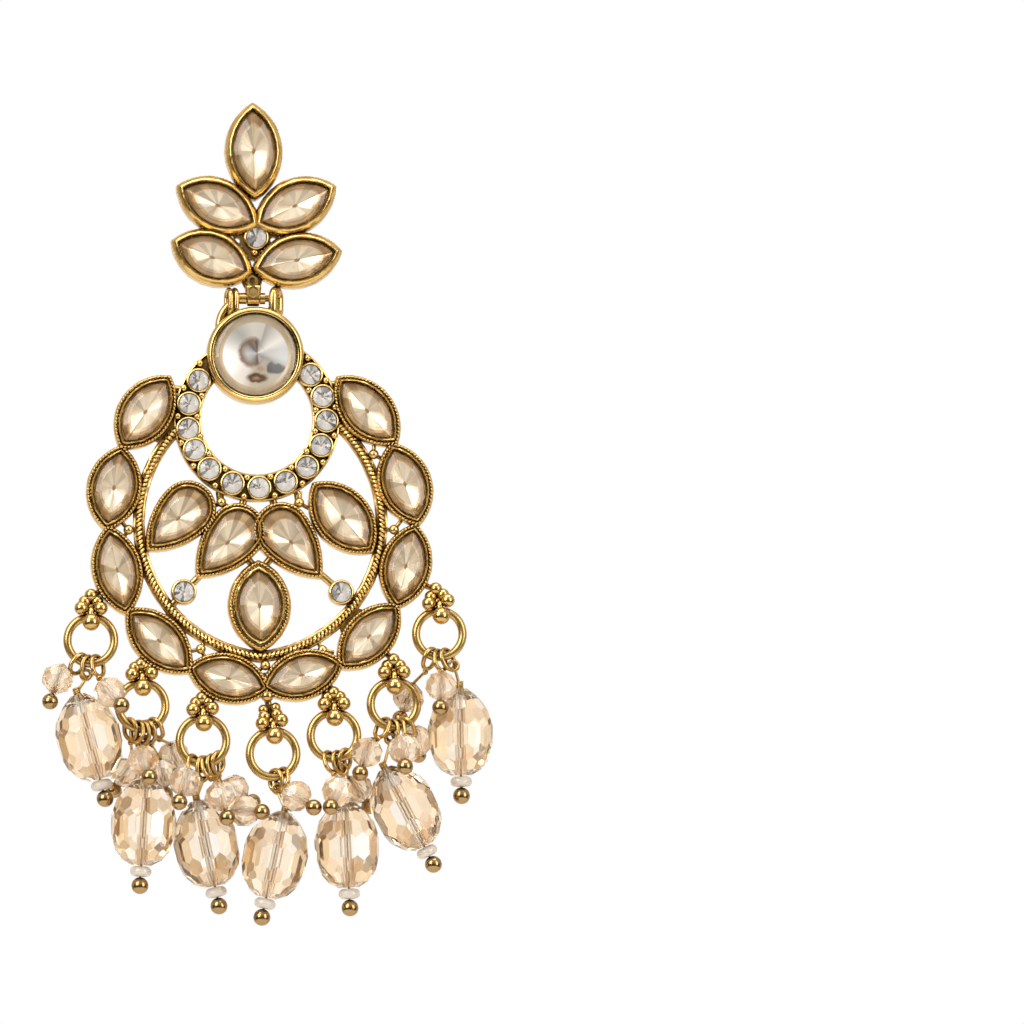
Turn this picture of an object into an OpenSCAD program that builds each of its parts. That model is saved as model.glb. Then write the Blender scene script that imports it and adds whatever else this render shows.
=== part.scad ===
// Chandbali earring, one of a pair: a five-leaf ear stud with a pierced crescent drop under it,
// and seven faceted glass drops on rings along the lower edge.
// Millimetres. +Z is up, the front faces -Y, and the origin is the point where the back of the
// stud sits on the ear lobe.

/* [Stud] */
// Length of the stone in a leaf
leaf_stone_l = 7.6; // [7:0.1:8.2]
// Width of the stone in a leaf
leaf_stone_w = 4; // [3.4:0.1:4.3]
// Length of the post behind the lobe
post_l = 10.5; // [8:0.5:13]
// Diameter of the post
post_d = 0.8; // [0.7:0.05:1.1]

/* [Hinge] */
// Depth of the hinge axis in front of the ear seat
hinge_y = 1.2; // [1.1:0.05:1.35]
// Drop of the hinge axis below the ear seat
hinge_drop = 8.8; // [8.7:0.05:9.1]
// Diameter of the bar that the drop hangs on
bar_d = 0.66; // [0.5:0.02:0.7]
// Wire of the two hanging loops
loop_wire = 0.72; // [0.6:0.02:0.8]
// Running gap in the hinge
hinge_gap = 0.15; // [0.1:0.01:0.2]
// Width of the tongue that holds the bar
tongue_w = 1.6; // [1.2:0.1:1.8]

/* [Crescent] */
// Diameter of the large round stone
round_d = 8.1; // [7.4:0.1:8.5]
// Diameter of a small crystal
chaton_d = 2; // [1.7:0.05:2.1]
// Radius of the row of crystals around the opening
crescent_r = 6.95; // [6.7:0.05:7.2]

/* [Rope ring] */
// Width of the rope ring, between the middles of its band
rope_w = 24.3; // [23.5:0.1:25]
// Height of the rope ring from point to point
rope_h = 26.8; // [26:0.1:27.6]
// Width of the rope band
rope_band = 0.95; // [0.8:0.05:1.2]

/* [Rim and petals] */
// Length of a stone on the outer rim
rim_stone_l = 7; // [6.6:0.1:7.3]
// Width of a stone on the outer rim
rim_stone_w = 3.6; // [3.2:0.1:3.8]
// Length of a stone in the inner petals
petal_stone_l = 7; // [6.5:0.1:7.4]
// Width of a stone in the inner petals
petal_stone_w = 4; // [3.5:0.1:4.2]

/* [Metal] */
// Depth of the back plate
plate_t = 1.2; // [1:0.05:1.35]
// Depth from the back to the front of the rims
rim_t = 2.5; // [2.3:0.05:2.8]
// Wall of a rim at the front
rim_wall = 0.42; // [0.36:0.02:0.5]
// Wall of a setting at the back
foot_wall = 0.85; // [0.7:0.02:0.95]
// Gap between a stone and its metal
stone_gap = 0.08; // [0.05:0.01:0.12]

/* [Hanging beads] */
// Outer diameter of a jump ring
ring_d = 5.5; // [5.2:0.1:5.8]
// Wire of a jump ring
ring_wire = 0.84; // [0.7:0.02:0.9]
// Height of a large glass bead
bead_h = 8.7; // [8.2:0.1:9]
// Width of a large glass bead
bead_w = 6.8; // [6.4:0.1:7]
// Diameter of a small glass bead
small_d = 3.3; // [2.9:0.1:3.4]
// Hole through a glass bead
bore_d = 0.6; // [0.5:0.02:0.8]
// Wire of the head pins and small loops
pin_wire = 0.34; // [0.3:0.02:0.38]
// Diameter of a head pin's ball
ball_d = 1.7; // [1.4:0.05:1.8]
// Diameter of a white seed bead
seed_d = 2.2; // [1.9:0.1:2.4]
// Height of a white seed bead
seed_h = 1.05; // [0.9:0.05:1.2]
// Running gap of the rings and loops
link_gap = 0.1; // [0.08:0.01:0.14]

/* [Hidden] */
$fn = 48;
GOLD = [0.72, 0.57, 0.3];
PEACH = [0.93, 0.83, 0.7];
CLEAR = [0.9, 0.9, 0.92];
PEARL = [0.95, 0.93, 0.88];

RIM_COUNT = 10;
DROP_COUNT = 7;
LEAF_COUNT = 5;
PETAL_COUNT = 5;
LEAVES = [for (i = [1 : LEAF_COUNT]) str("stud_stone_", i)];
RIMS = [for (i = [1 : RIM_COUNT]) str("rim_stone_", i < 10 ? "0" : "", i)];
PETALS = [for (i = [1 : PETAL_COUNT]) str("petal_stone_", i)];
RINGS = [for (i = [1 : DROP_COUNT]) str("jump_ring_", i)];
BEADS = [for (i = [1 : DROP_COUNT]) str("drop_bead_", i)];
PINS = [for (i = [1 : DROP_COUNT]) str("drop_pin_", i)];

// Leaves around the stud's crystal: across and up in leaf stone lengths, lean from upright to the
// right in degrees, length and width in leaf stone sizes
STUD_HUB = [0.1, -2.7];
LEAF = [
    [-0.036, 1.145, -1.8, 1.05, 1.04],
    [-0.508, 0.419, -64.3, 0.97, 0.98],
    [0.509, 0.424, 63.8, 0.97, 0.98],
    [-0.582, -0.269, -67.8, 0.93, 0.98],
    [0.536, -0.295, 77.8, 0.98, 0.98]];

// Crescent: middle of its circle from the ear seat, and the place of each crystal around it
CRESCENT_AT = [0.2, -20.9];
CHATON_ANGLES = [147, 168, 189, 207, 227, 249.5, 272, 294.5, 316, 337.5, 358.5, 379, 399.5];
crescent_from = 128;
crescent_to = 418;
ROUND_AT = [0.02, -14.54];

// Rim stones along the rope ring, from the bottom point: side, steps up, lean from the ring's own
// direction, length and width in rim stone sizes, and stand-off beyond the touching place
ROPE_AT = [0.6, CRESCENT_AT[1] - 0.388 * rope_h];
RIM = [
    [-1, 4.56, -6.2, 1.01, 1.08, 0.6],
    [-1, 3.56, -1.5, 0.99, 1.07, 0],
    [-1, 2.54, 5.3, 1.04, 0.96, 0.05],
    [-1, 1.53, 1, 1.02, 0.95, 0.2],
    [-1, 0.56, -1, 0.97, 0.95, -0.05],
    [1, 0.69, -2.2, 0.98, 0.95, -0.1],
    [1, 1.64, 0.7, 0.99, 0.95, 0.35],
    [1, 2.61, 2.4, 1, 1, 0.1],
    [1, 3.63, 4.6, 1, 1.07, -0.1],
    [1, 4.66, -1.4, 1.04, 1.06, 0.1]];

// Petals inside the rope ring: across and up from its middle as shares of its width and height,
// the way the point looks from upright to the right, length and width in petal stone sizes
PETAL = [
    [-0.34, 0.012, 223.8, 0.98, 1],
    [-0.137, -0.078, 221, 1.02, 1.02],
    [0.127, -0.075, 140.2, 1.03, 1.02],
    [0.338, 0.019, 139.3, 1.06, 0.98],
    [-0.004, -0.312, -1.7, 0.96, 1.04]];
// Crystals beside the lower petals, as shares of the rope ring's width and height
SIDE_CHATON = [[-0.315, -0.261], [0.332, -0.26]];

// Filler balls between the rim settings: side, steps up the rope ring, and stand-off
FILLER = [[1, 4.15, 0.91], [1, 3.06, 1.21], [-1, 3.04, 1.07], [-1, 1.04, 1.17], [1, 1.07, 1.34],
    [1, 0.25, 0.95]];
// Filler balls under the crescent, as shares of the rope ring's width and height
INNER_FILLER = [[-0.163, 0.075], [0.158, 0.075]];
filler_r = 0.48;
// Short bridges from the crescent: angle around it, then the far end as shares of the rope ring
CRESCENT_BRIDGE = [
    [261.1, -0.078, 0.052], [281.3, 0.062, 0.052], [243.1, -0.163, 0.075], [299.3, 0.158, 0.075],
    [157.8, -0.366, 0.5], [174.4, -0.354, 0.425], [25.6, 0.333, 0.522], [6.9, 0.329, 0.437]];
// Short bridges between settings: both ends as shares of the rope ring's width and height
BRIDGE = [
    [[-0.284, -0.231], [-0.243, -0.194]], [[0.3, -0.231], [0.247, -0.19]],
    [[-0.346, -0.291], [-0.374, -0.321]], [[0.362, -0.287], [0.395, -0.313]],
    [[-0.004, -0.138], [-0.004, -0.183]], [[0, -0.459], [0, -0.493]]];
bridge_w = 0.66;

// Hangers: side, steps up the rope ring, stand-off of the jump ring's top wire, then the lean of
// the ball cluster and the height of its top ball above that wire
HANGER = [
    [-1, 2.18, 7.1, 0, 2.15],
    [-1, 1.37, 7.25, -4, 1.8],
    [-1, 0.69, 7.3, -4, 1.95],
    [1, 0.25, 7.5, -10, 3.5],
    [1, 0.86, 7.4, -2, 1.95],
    [1, 1.5, 8.1, -2, 2.1],
    [1, 2.29, 7.65, -10, 2.2]];

// Large drops: place on the jump ring from its bottom in degrees, then the bead's middle across,
// forward and down from the ring's middle, and its lean
DROP = [
    [-8, -0.17, 0, 9.65, 15],
    [3, 0.16, 0.7, 11.6, -3],
    [0, 0.36, -1.1, 10.18, 12],
    [8, 0.22, 0.6, 10.1, -12],
    [14, 1.33, -0.7, 10.8, 3],
    [-6, 1.02, 0.8, 10.35, 27],
    [24, 2.14, -0.3, 9.8, 1]];

// Small beads: drop, place of the eye on the jump ring in degrees, bead's middle across, forward
// and down from the ring's middle, and the way the pin's ball looks: across, then forward
SMALL = [
    [0, -34, -3.3, 0.3, 3.9, -18, 0],
    [0, 22, 1.84, 2.45, 5.3, 39, 40],
    [1, -16, 0.05, 2.5, 5.6, 19, 40],
    [1, -40, -1.6, -3.1, 6.5, -32, -30],
    [1, 20, 2.05, -1.8, 6.6, 10, -25],
    [1, 46, 3.3, -4.5, 4.7, 20, -40],
    [2, -30, -1.85, 2.3, 4.2, -16, 25],
    [2, 15, 1.65, 2.4, 5.6, 17, 15],
    [2, 32, 4.15, 0.4, 7, 85, 45],
    [2, 52, 3.2, -2.4, 4.8, 60, -20],
    [3, 30, 2.23, 2.2, 4.35, 56, 30],
    [4, -14, 0.23, 2.5, 5.64, -24, 40],
    [4, 36, 2.4, -2.4, 5.2, 38, -25],
    [5, -36, -2.82, 1.9, 4.93, -18, 20],
    [5, 14, 0.92, 2.4, 4.63, -1, 40],
    [5, 44, 2.54, -3.6, 3.45, 10, -55],
    [6, 2, 0.02, 2.4, 5.33, -3, 20],
    [6, -30, -2.96, -2.4, 6.2, -20, -20]];

// Radius of the two arcs that bound a pointed oval of half length a and half width b
function arc_r(a, b) = (a * a + b * b) / (2 * b);
function polar(angle, r) = [r * cos(angle), r * sin(angle)];
function unit(v) = v / norm(v);

// Rope ring and everything placed along it
rope_a = rope_h / 2;
rope_b = rope_w / 2;
rope_r = arc_r(rope_a, rope_b);
rim_off = rope_band / 2 + rim_stone_w / 2 + rim_wall + 0.16;
rim_step = (rim_stone_l + 1.15) / (rope_r + rim_off) * 180 / PI;
// Angle of a place on the right or left arc, from straight out at its side
function rope_angle(row) = -90 + row[1] * rim_step;
function rope_place(row, out) =
    ROPE_AT + [row[0] * (rope_b - rope_r + (rope_r + out) * cos(rope_angle(row))),
        (rope_r + out) * sin(rope_angle(row))];

// Settings: middle, lean to the right, half length and half width
function leaf_at(row) = STUD_HUB + [row[0], row[1]] * leaf_stone_l;
function rim_at(row) = rope_place(row, rim_off + row[5]);
function rim_lean(row) = -row[0] * (rope_angle(row) + row[2]);
function ring_share(row) = ROPE_AT + [row[0] * rope_w, row[1] * rope_h];
function chaton_at(angle) = CRESCENT_AT + polar(angle, crescent_r);
filler_at = concat([for (row = FILLER) rope_place(row, row[2])],
    [for (row = INNER_FILLER) ring_share(row)]);

// Hanging rings
ring_r = (ring_d - ring_wire) / 2;
function ring_top(i) = rope_place(HANGER[i], HANGER[i][2]);
function ring_at(i) = ring_top(i) - [0, ring_r];
// A place on the jump ring's wire, from its bottom
function wire_at(i, angle) = ring_at(i) + ring_r * [sin(angle), -cos(angle)];
hang_y = hinge_y;

// Small loops: a hanger's loop on the jump ring, a pin's eye and the link between ring and pin
hanger_r = ring_wire / 2 + link_gap + loop_wire / 2;
eye_r = ring_wire / 2 + link_gap + pin_wire / 2;
contact_gap = 0.08;
link_r = (ring_wire + pin_wire + 3 * contact_gap) / 2 + pin_wire / 2;
pin_eye_r = pin_wire + link_gap + 0.05;

// A point given across, forward and up
function at(x, forward, z) = [x, -forward, z];
// The way a pin looks: across from straight down, and forward
function look(across, forward) =
    [sin(across) * cos(forward), -sin(forward), -cos(across) * cos(forward)];
function small_middle(row) =
    let (c = ring_at(row[0])) at(c[0] + row[2], hang_y + row[3], c[1] - row[4]);
function small_look(row) = look(row[5], row[6]);
function bead_middle(i) =
    let (c = ring_at(i), d = DROP[i]) at(c[0] + d[1], hang_y + d[2], c[1] - d[3]);
function bead_look(i) = look(DROP[i][4], 0);

// Flat outlines, drawn across and up
module pointed_oval(a, b, grow = 0) {
    r = arc_r(a, b);
    intersection() {
        translate([r - b, 0]) circle(r + grow, $fn = 96);
        translate([b - r, 0]) circle(r + grow, $fn = 96);
    }
}

// A pear: a pointed half above and a round half below
module pear(l, w, grow = 0) {
    a = l - w / 2;
    translate([0, w / 2 - l / 2]) {
        circle(w / 2 + grow, $fn = 64);
        intersection() {
            pointed_oval(a, w / 2, grow);
            translate([-l, 0]) square([2 * l, 2 * l]);
        }
    }
}

module leaf_outline(row, grow) {
    translate(leaf_at(row)) rotate(-row[2])
        pointed_oval(row[3] * leaf_stone_l / 2, row[4] * leaf_stone_w / 2, grow);
}

module rim_outline(row, grow) {
    translate(rim_at(row)) rotate(-rim_lean(row))
        pointed_oval(row[3] * rim_stone_l / 2, row[4] * rim_stone_w / 2, grow);
}

module petal_outline(row, grow) {
    translate(ring_share(row)) rotate(-row[2])
        pear(row[3] * petal_stone_l, row[4] * petal_stone_w, grow);
}

// A flat strip with square ends, from one point to another
module strip(p, q, w) {
    v = q - p;
    translate(p) rotate(atan2(v[1], v[0])) translate([0, -w / 2]) square([norm(v), w]);
}

// Raises a flat outline forward, from one depth to another
module raised(from, to) {
    translate([0, -from, 0]) rotate([90, 0, 0]) linear_extrude(to - from) children();
}

// A round wire ring about the Y axis
module wire_ring(r, wire) {
    rotate([90, 0, 0]) rotate_extrude() translate([r, 0]) circle(wire / 2, $fn = 24);
}

// A round rod between two points
module rod(p, q, d) {
    v = q - p;
    translate(p) rotate([0, acos(v[2] / norm(v)), atan2(v[1], v[0])])
        cylinder(h = norm(v), d = d, $fn = 24);
}

module ball(p, d) {
    translate(p) sphere(d = d, $fn = 32);
}

// Faceted bodies: rings of points from the back to the front, each turned half a step
module faceted(rings, closed = false) {
    n = len(rings[0]);
    bands = closed ? len(rings) : len(rings) - 1;
    points = [for (ring = rings) each ring];
    sides = [for (j = [0 : bands - 1]) for (i = [0 : n - 1])
        let (a = j * n, b = (j + 1) % len(rings) * n, k = (i + 1) % n, s = j % 2)
            each s == 0 ? [[a + i, a + k, b + i], [a + k, b + k, b + i]]
                : [[a + i, b + k, b + i], [a + i, a + k, b + k]]];
    caps = closed ? [] : [[for (i = [n - 1 : -1 : 0]) i],
        [for (i = [0 : n - 1]) (len(rings) - 1) * n + i]];
    polyhedron(points = points, faces = concat(caps, sides), convexity = 4);
}

// A point on a pointed oval, by its share of the way round from the top
function oval_point(a, b, share) =
    let (r = arc_r(a, b), half = asin(a / r), side = share < 0.5 ? 1 : -1,
        t = side > 0 ? half * (1 - 4 * share) : half * (4 * share - 3))
        [side * (b - r + r * cos(t)), r * sin(t)];
// A point on a pear, by its share of the way round from the point
function pear_point(l, w, share) =
    let (a = l - w / 2, r = arc_r(a, w / 2), half = asin(a / r), s = share < 0.5 ? share : 1 - share,
        side = share < 0.5 ? 1 : -1, up = w / 2 - l / 2, t = half * (1 - 4 * s), u = (s - 0.25) * 360)
        s < 0.25 ? [side * (w / 2 - r + r * cos(t)), up + r * sin(t)]
            : [side * w / 2 * cos(u), up - w / 2 * sin(u)];

// A cut stone's levels: share of its outline and height above its back
STONE_SIDES = 12;
ROUND_SIDES = 16;
CHATON_SIDES = 8;
STONE_LEVELS = [[0.8, 0], [1, 0.45], [0.82, 0.85], [0.56, 1.15]];
ROUND_LEVELS = [[0.85, 0], [1, 0.4], [0.86, 0.75], [0.3, 1.45]];
CHATON_LEVELS = [[0.6, 0], [1, 0.4], [0.56, 0.75]];
stone_back = plate_t + stone_gap;
chaton_back = 1.15;

function oval_rings(l, w) = [for (j = [0 : 3]) [for (i = [0 : STONE_SIDES - 1])
    let (p = oval_point(l / 2, w / 2, ((i + j % 2 / 2) / STONE_SIDES + 1) % 1) * STONE_LEVELS[j][0])
        [p[0], -STONE_LEVELS[j][1], p[1]]]];
function pear_rings(l, w) = [for (j = [0 : 3]) [for (i = [0 : STONE_SIDES - 1])
    let (p = pear_point(l, w, ((i + j % 2 / 2) / STONE_SIDES + 1) % 1) * STONE_LEVELS[j][0])
        [p[0], -STONE_LEVELS[j][1], p[1]]]];
function round_rings(d, sides, levels) = [for (j = [0 : len(levels) - 1]) [for (i = [0 : sides - 1])
    let (p = polar(90 - (i + j % 2 / 2) * 360 / sides, d / 2) * levels[j][0])
        [p[0], -levels[j][1], p[1]]]];

module set_stone(place, lean, back) {
    translate([place[0], -back, place[1]]) rotate([0, lean, 0]) children();
}

module chaton(place) {
    set_stone(place, 0, chaton_back + stone_gap)
        faceted(round_rings(chaton_d, CHATON_SIDES, CHATON_LEVELS));
}

// Stud
chaton_wall = 0.3;
chaton_cup_t = chaton_back + 0.75;
tongue_x = -0.2;
tongue_r = bar_d / 2 + 0.45;
LOOP_X = [-2.35, 2.1];
LOOP_TURN = [13, -11];
loop_r = bar_d / 2 + hinge_gap + loop_wire / 2;
bar_end = 0.45;
hinge_at = [0, -hinge_y, -hinge_drop];
pocket_r = loop_r + loop_wire / 2 + hinge_gap;
nub_at = [-0.3, -7.05];
hub_r = 2.3;
// Small piercings between the leaves, from the stud's crystal
STUD_HOLES = [[-0.15, 3.45], [-1.9, -0.3], [1.7, -0.2]];

module cup(place, front) {
    raised(0, front) translate(place) circle(chaton_d / 2 + chaton_wall);
}

module cup_bore(place) {
    raised(chaton_back, rim_t + 1) translate(place) circle(chaton_d / 2 + stone_gap);
}

module tongue() {
    translate([tongue_x - tongue_w / 2, 0, 0]) rotate([90, 0, 90]) linear_extrude(tongue_w) {
        translate([-hinge_y, -hinge_drop]) circle(tongue_r);
        translate([-hinge_y - tongue_r * 0.9, -hinge_drop])
            square([tongue_r * 1.8, hinge_drop + nub_at[1] + 0.3]);
    }
}

module stud_frame() {
    color(GOLD) difference() {
        union() {
            raised(0, plate_t) {
                for (row = LEAF) leaf_outline(row, foot_wall);
                translate(STUD_HUB) circle(hub_r);
                translate(nub_at) circle(1);
            }
            raised(plate_t - 0.1, rim_t) difference() {
                for (row = LEAF) leaf_outline(row, rim_wall + stone_gap);
                for (row = LEAF) leaf_outline(row, stone_gap);
            }
            cup(STUD_HUB, chaton_cup_t);
            raised(0, 1.9) translate(nub_at) circle(0.62, $fn = 6);
            tongue();
            rod(hinge_at + [LOOP_X[0] - bar_end, 0, 0], hinge_at + [LOOP_X[1] + bar_end, 0, 0], bar_d);
        }
        cup_bore(STUD_HUB);
        raised(-0.5, rim_t) for (hole = STUD_HOLES) translate(STUD_HUB + hole) circle(0.28, $fn = 16);
        for (x = LOOP_X) translate([x - loop_r * 0.7, 0, 0]) rotate([90, 0, 90])
            linear_extrude(loop_r * 1.4) difference() {
                translate([-hinge_y, -hinge_drop]) {
                    circle(pocket_r);
                    translate([0, -pocket_r * 0.9]) square([pocket_r * 2, pocket_r * 1.8]);
                }
                translate([-hinge_y, -hinge_drop]) circle(bar_d / 2);
            }
        rotate([90, 0, 0]) translate([0, 0, -0.5]) cylinder(h = 0.5 + post_seat, d = post_foot_d + 0.1);
    }
}

// The post stands on a thinner foot that is seated in the stud's back
post_seat = 0.8;
post_foot_d = post_d - 0.36;
post_stand = 0.1;
foot_lap = 0.05;
module ear_post() {
    color(GOLD) rotate([90, 0, 0]) {
        translate([0, 0, -post_l]) cylinder(h = post_l - post_stand, d = post_d);
        translate([0, 0, -post_stand - foot_lap])
            cylinder(h = post_stand + foot_lap + post_seat - 0.06, d = post_foot_d);
    }
}

module stud_stone(i) {
    row = LEAF[i];
    color(PEACH) set_stone(leaf_at(row), row[2], stone_back)
        faceted(oval_rings(row[3] * leaf_stone_l, row[4] * leaf_stone_w));
}

module stud_chaton() {
    color(CLEAR) chaton(STUD_HUB);
}

// Drop
round_wall = 0.68;
round_foot = 0.85;
arch_at = [-0.2, -11.72];
arch_r = 2.95;
arch_wire = 0.8;
crescent_foot = 1.37;
crescent_t = 1.5;

module crescent_band() {
    intersection() {
        translate(CRESCENT_AT) difference() {
            circle(crescent_r + crescent_foot, $fn = 96);
            circle(crescent_r - crescent_foot, $fn = 96);
        }
        translate(CRESCENT_AT) polygon(concat([[0, 0]],
            [for (i = [0 : 12]) polar(crescent_from + i * (crescent_to - crescent_from) / 12, 14)]));
    }
}

module rope_outline(grow) {
    translate(ROPE_AT) pointed_oval(rope_a, rope_b, grow);
}

module rope_ring_flat() {
    difference() {
        rope_outline(rope_band / 2);
        rope_outline(-rope_band / 2);
        translate(CRESCENT_AT) circle(crescent_r, $fn = 96);
        translate([-rope_w, CRESCENT_AT[1] + 1.2]) square([2 * rope_w, rope_h]);
    }
}

module settings(grow) {
    for (row = RIM) rim_outline(row, grow);
    for (row = PETAL) petal_outline(row, grow);
}

// Cluster of balls over a loop that the jump ring hangs in
cluster_d = 1.38;
front_ball_d = 1.74;
hanger_stem = 0.8;
hanger_root = 0.62;
module hanger(i) {
    top = ring_top(i);
    lean = HANGER[i][3];
    tall = HANGER[i][4];
    c = at(top[0], hang_y, top[1]);
    crown = c + tall * [sin(lean), 0, cos(lean)];
    inward = unit(ROPE_AT + [HANGER[i][0] * (rope_b - rope_r), 0] - [crown[0], crown[2]]);
    translate(c) rotate([0, 0, 90]) wire_ring(hanger_r, loop_wire);
    translate(c) rotate([0, lean, 0]) {
        ball([0, -hanger_r - 0.46, -0.45], front_ball_d);
        for (side = [-1, 1]) ball([side * 0.94, -0.15, 1.18], cluster_d);
        ball([0, -0.5, 1.1], cluster_d * 0.7);
        if (tall > 3) for (side = [-1, 1]) ball([side * 0.64, -0.12, 2.16], cluster_d * 0.7);
        rod([0, 0, hanger_r - 0.05], [0, 0, tall], hanger_stem);
    }
    ball(crown, cluster_d * 0.95);
    rod(crown, crown + [inward[0] * 2.3, 0.6, inward[1] * 2.3], hanger_root);
}

module drop_frame() {
    color(GOLD) difference() {
        union() {
            raised(0, plate_t) {
                settings(foot_wall);
                translate(ROUND_AT) circle(round_d / 2 + round_foot, $fn = 96);
                for (row = SIDE_CHATON) translate(ring_share(row)) circle(chaton_d / 2 + 0.45);
                for (p = filler_at) translate(p) circle(filler_r + 0.3);
                for (row = CRESCENT_BRIDGE)
                    strip(CRESCENT_AT + polar(row[0], crescent_r + chaton_d / 2),
                        ring_share([row[1], row[2]]), bridge_w);
                for (pair = BRIDGE) strip(ring_share(pair[0]), ring_share(pair[1]), bridge_w);
            }
            raised(plate_t - 0.1, rim_t) difference() {
                settings(rim_wall + stone_gap);
                settings(stone_gap);
            }
            raised(plate_t - 0.1, rim_t + 0.1) translate(ROUND_AT)
                circle(round_d / 2 + round_wall, $fn = 96);
            raised(0, 1.75) rope_ring_flat();
            raised(0, crescent_t) crescent_band();
            for (angle = CHATON_ANGLES) cup(chaton_at(angle), chaton_cup_t);
            for (row = SIDE_CHATON) cup(ring_share(row), chaton_cup_t);
            for (p = filler_at) ball(at(p[0], 1.3, p[1]), filler_r * 2);
            for (i = [0 : DROP_COUNT - 1]) hanger(i);
            for (i = [0, 1]) translate(hinge_at + [LOOP_X[i], 0, 0]) rotate([0, 0, 90 + LOOP_TURN[i]])
                wire_ring(loop_r, loop_wire);
            for (from = [-2, 138]) translate([arch_at[0], -hinge_y, arch_at[1]]) rotate([90, 0, 0])
                rotate([0, 0, from]) rotate_extrude(angle = 44) translate([arch_r, 0])
                    circle(arch_wire / 2, $fn = 24);
        }
        for (angle = CHATON_ANGLES) cup_bore(chaton_at(angle));
        for (row = SIDE_CHATON) cup_bore(ring_share(row));
        raised(plate_t, rim_t + 1) translate(ROUND_AT) circle(round_d / 2 + stone_gap, $fn = 96);
        translate(hinge_at + [tongue_x - tongue_w / 2 - hinge_gap, 0, 0]) rotate([0, 90, 0])
            cylinder(r = tongue_r + hinge_gap, h = tongue_w + 2 * hinge_gap);
    }
}

module round_stone() {
    color(CLEAR) set_stone(ROUND_AT, 0, stone_back)
        faceted(round_rings(round_d, ROUND_SIDES, ROUND_LEVELS));
}

module rim_stone(i) {
    row = RIM[i];
    color(PEACH) set_stone(rim_at(row), rim_lean(row), stone_back)
        faceted(oval_rings(row[3] * rim_stone_l, row[4] * rim_stone_w));
}

module petal_stone(i) {
    row = PETAL[i];
    color(PEACH) set_stone(ring_share(row), row[2], stone_back)
        faceted(pear_rings(row[3] * petal_stone_l, row[4] * petal_stone_w));
}

module crescent_chatons() {
    color(CLEAR) for (angle = CHATON_ANGLES) chaton(chaton_at(angle));
}

module side_chatons() {
    color(CLEAR) for (row = SIDE_CHATON) chaton(ring_share(row));
}

// Hanging pieces
module jump_ring(i) {
    c = ring_at(i);
    color(GOLD) translate(at(c[0], hang_y, c[1])) wire_ring(ring_r, ring_wire);
}

// A link hangs on the jump ring, and the large bead's pin hangs on the link
function out_at(angle) = [sin(angle), 0, -cos(angle)];
function link_at(i) =
    let (w = wire_at(i, DROP[i][0]), slack = link_r - pin_wire / 2 - ring_wire / 2 - contact_gap)
        at(w[0], hang_y, w[1]) + out_at(DROP[i][0]) * slack;
function eye_at(i) =
    link_at(i) + out_at(DROP[i][0]) * (link_r + pin_eye_r - pin_wire - contact_gap);

module small_links() {
    color(GOLD) for (i = [0 : DROP_COUNT - 1])
        translate(link_at(i)) rotate([0, -DROP[i][0], 0]) rotate([0, 0, 90]) wire_ring(link_r, pin_wire);
}

// A bead's levels: height from its middle and radius, as shares of its own height and width
BEAD_SIDES = 10;
BEAD_LEVELS = [[-0.5, 0.17], [-0.42, 0.33], [-0.25, 0.465], [0.02, 0.5], [0.26, 0.42], [0.43, 0.23],
    [0.5, 0.12]];
SMALL_LEVELS = [[-0.45, 0.16], [-0.27, 0.41], [0, 0.5], [0.27, 0.41], [0.45, 0.16]];
function bead_rings(h, w, levels) =
    let (n = len(levels), all = concat(levels, [[levels[n - 1][0], 0], [levels[0][0], 0]]))
        [for (j = [0 : len(all) - 1]) [for (i = [0 : BEAD_SIDES - 1])
            let (r = j < n ? all[j][1] * w : bore_d / 2, a = -(i + j % 2 / 2) * 360 / BEAD_SIDES)
                [r * cos(a), r * sin(a), all[j][0] * h]]];

// Turns a body's own downward axis to look along a direction
module aimed(p, v) {
    translate(p) rotate([0, acos(-v[2]), atan2(-v[1], -v[0])]) children();
}

module drop_bead(i) {
    color(PEACH) aimed(bead_middle(i), bead_look(i)) faceted(bead_rings(bead_h, bead_w, BEAD_LEVELS), true);
}

seed_clear = 0.08;
function pin_foot(i) = bead_middle(i)
    + bead_look(i) * (bead_h / 2 + seed_h + 2 * seed_clear + ball_d / 2 - 0.05);
module drop_pin(i) {
    eye = eye_at(i);
    top = bead_middle(i) - bead_look(i) * (bead_h / 2 + 0.25);
    color(GOLD) {
        translate(eye) wire_ring(pin_eye_r, pin_wire);
        rod(eye + out_at(DROP[i][0]) * pin_eye_r, top, pin_wire * 0.9);
        ball(top, pin_wire * 1.5);
        rod(top, pin_foot(i), pin_wire * 0.9);
        ball(pin_foot(i), ball_d);
    }
}

module seed_beads() {
    color(PEARL) for (i = [0 : DROP_COUNT - 1])
        aimed(bead_middle(i) + bead_look(i) * (bead_h / 2 + seed_h / 2 + seed_clear), bead_look(i))
            rotate_extrude() difference() {
                translate([seed_d / 2 - seed_h / 2, 0]) circle(seed_h / 2, $fn = 24);
                translate([-seed_d, -seed_h]) square([seed_d + bore_d / 2, 2 * seed_h]);
            }
}

module small_beads() {
    color(PEACH) for (row = SMALL)
        aimed(small_middle(row), small_look(row)) faceted(bead_rings(small_d, small_d, SMALL_LEVELS), true);
}

module small_pin(row) {
    w = wire_at(row[0], row[1]);
    eye = at(w[0], hang_y, w[1]);
    start = eye + out_at(row[1]) * eye_r;
    reach = small_d * 0.45;
    top = small_middle(row) - small_look(row) * (reach + 0.2);
    foot = small_middle(row) + small_look(row) * (reach + ball_d / 2 + 0.02);
    translate(eye) rotate([0, -row[1], 0]) rotate([0, 0, 90]) wire_ring(eye_r, pin_wire);
    rod(start, top, pin_wire * 0.9);
    rod(top, foot, pin_wire * 0.8);
    ball(foot, ball_d);
}

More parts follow.
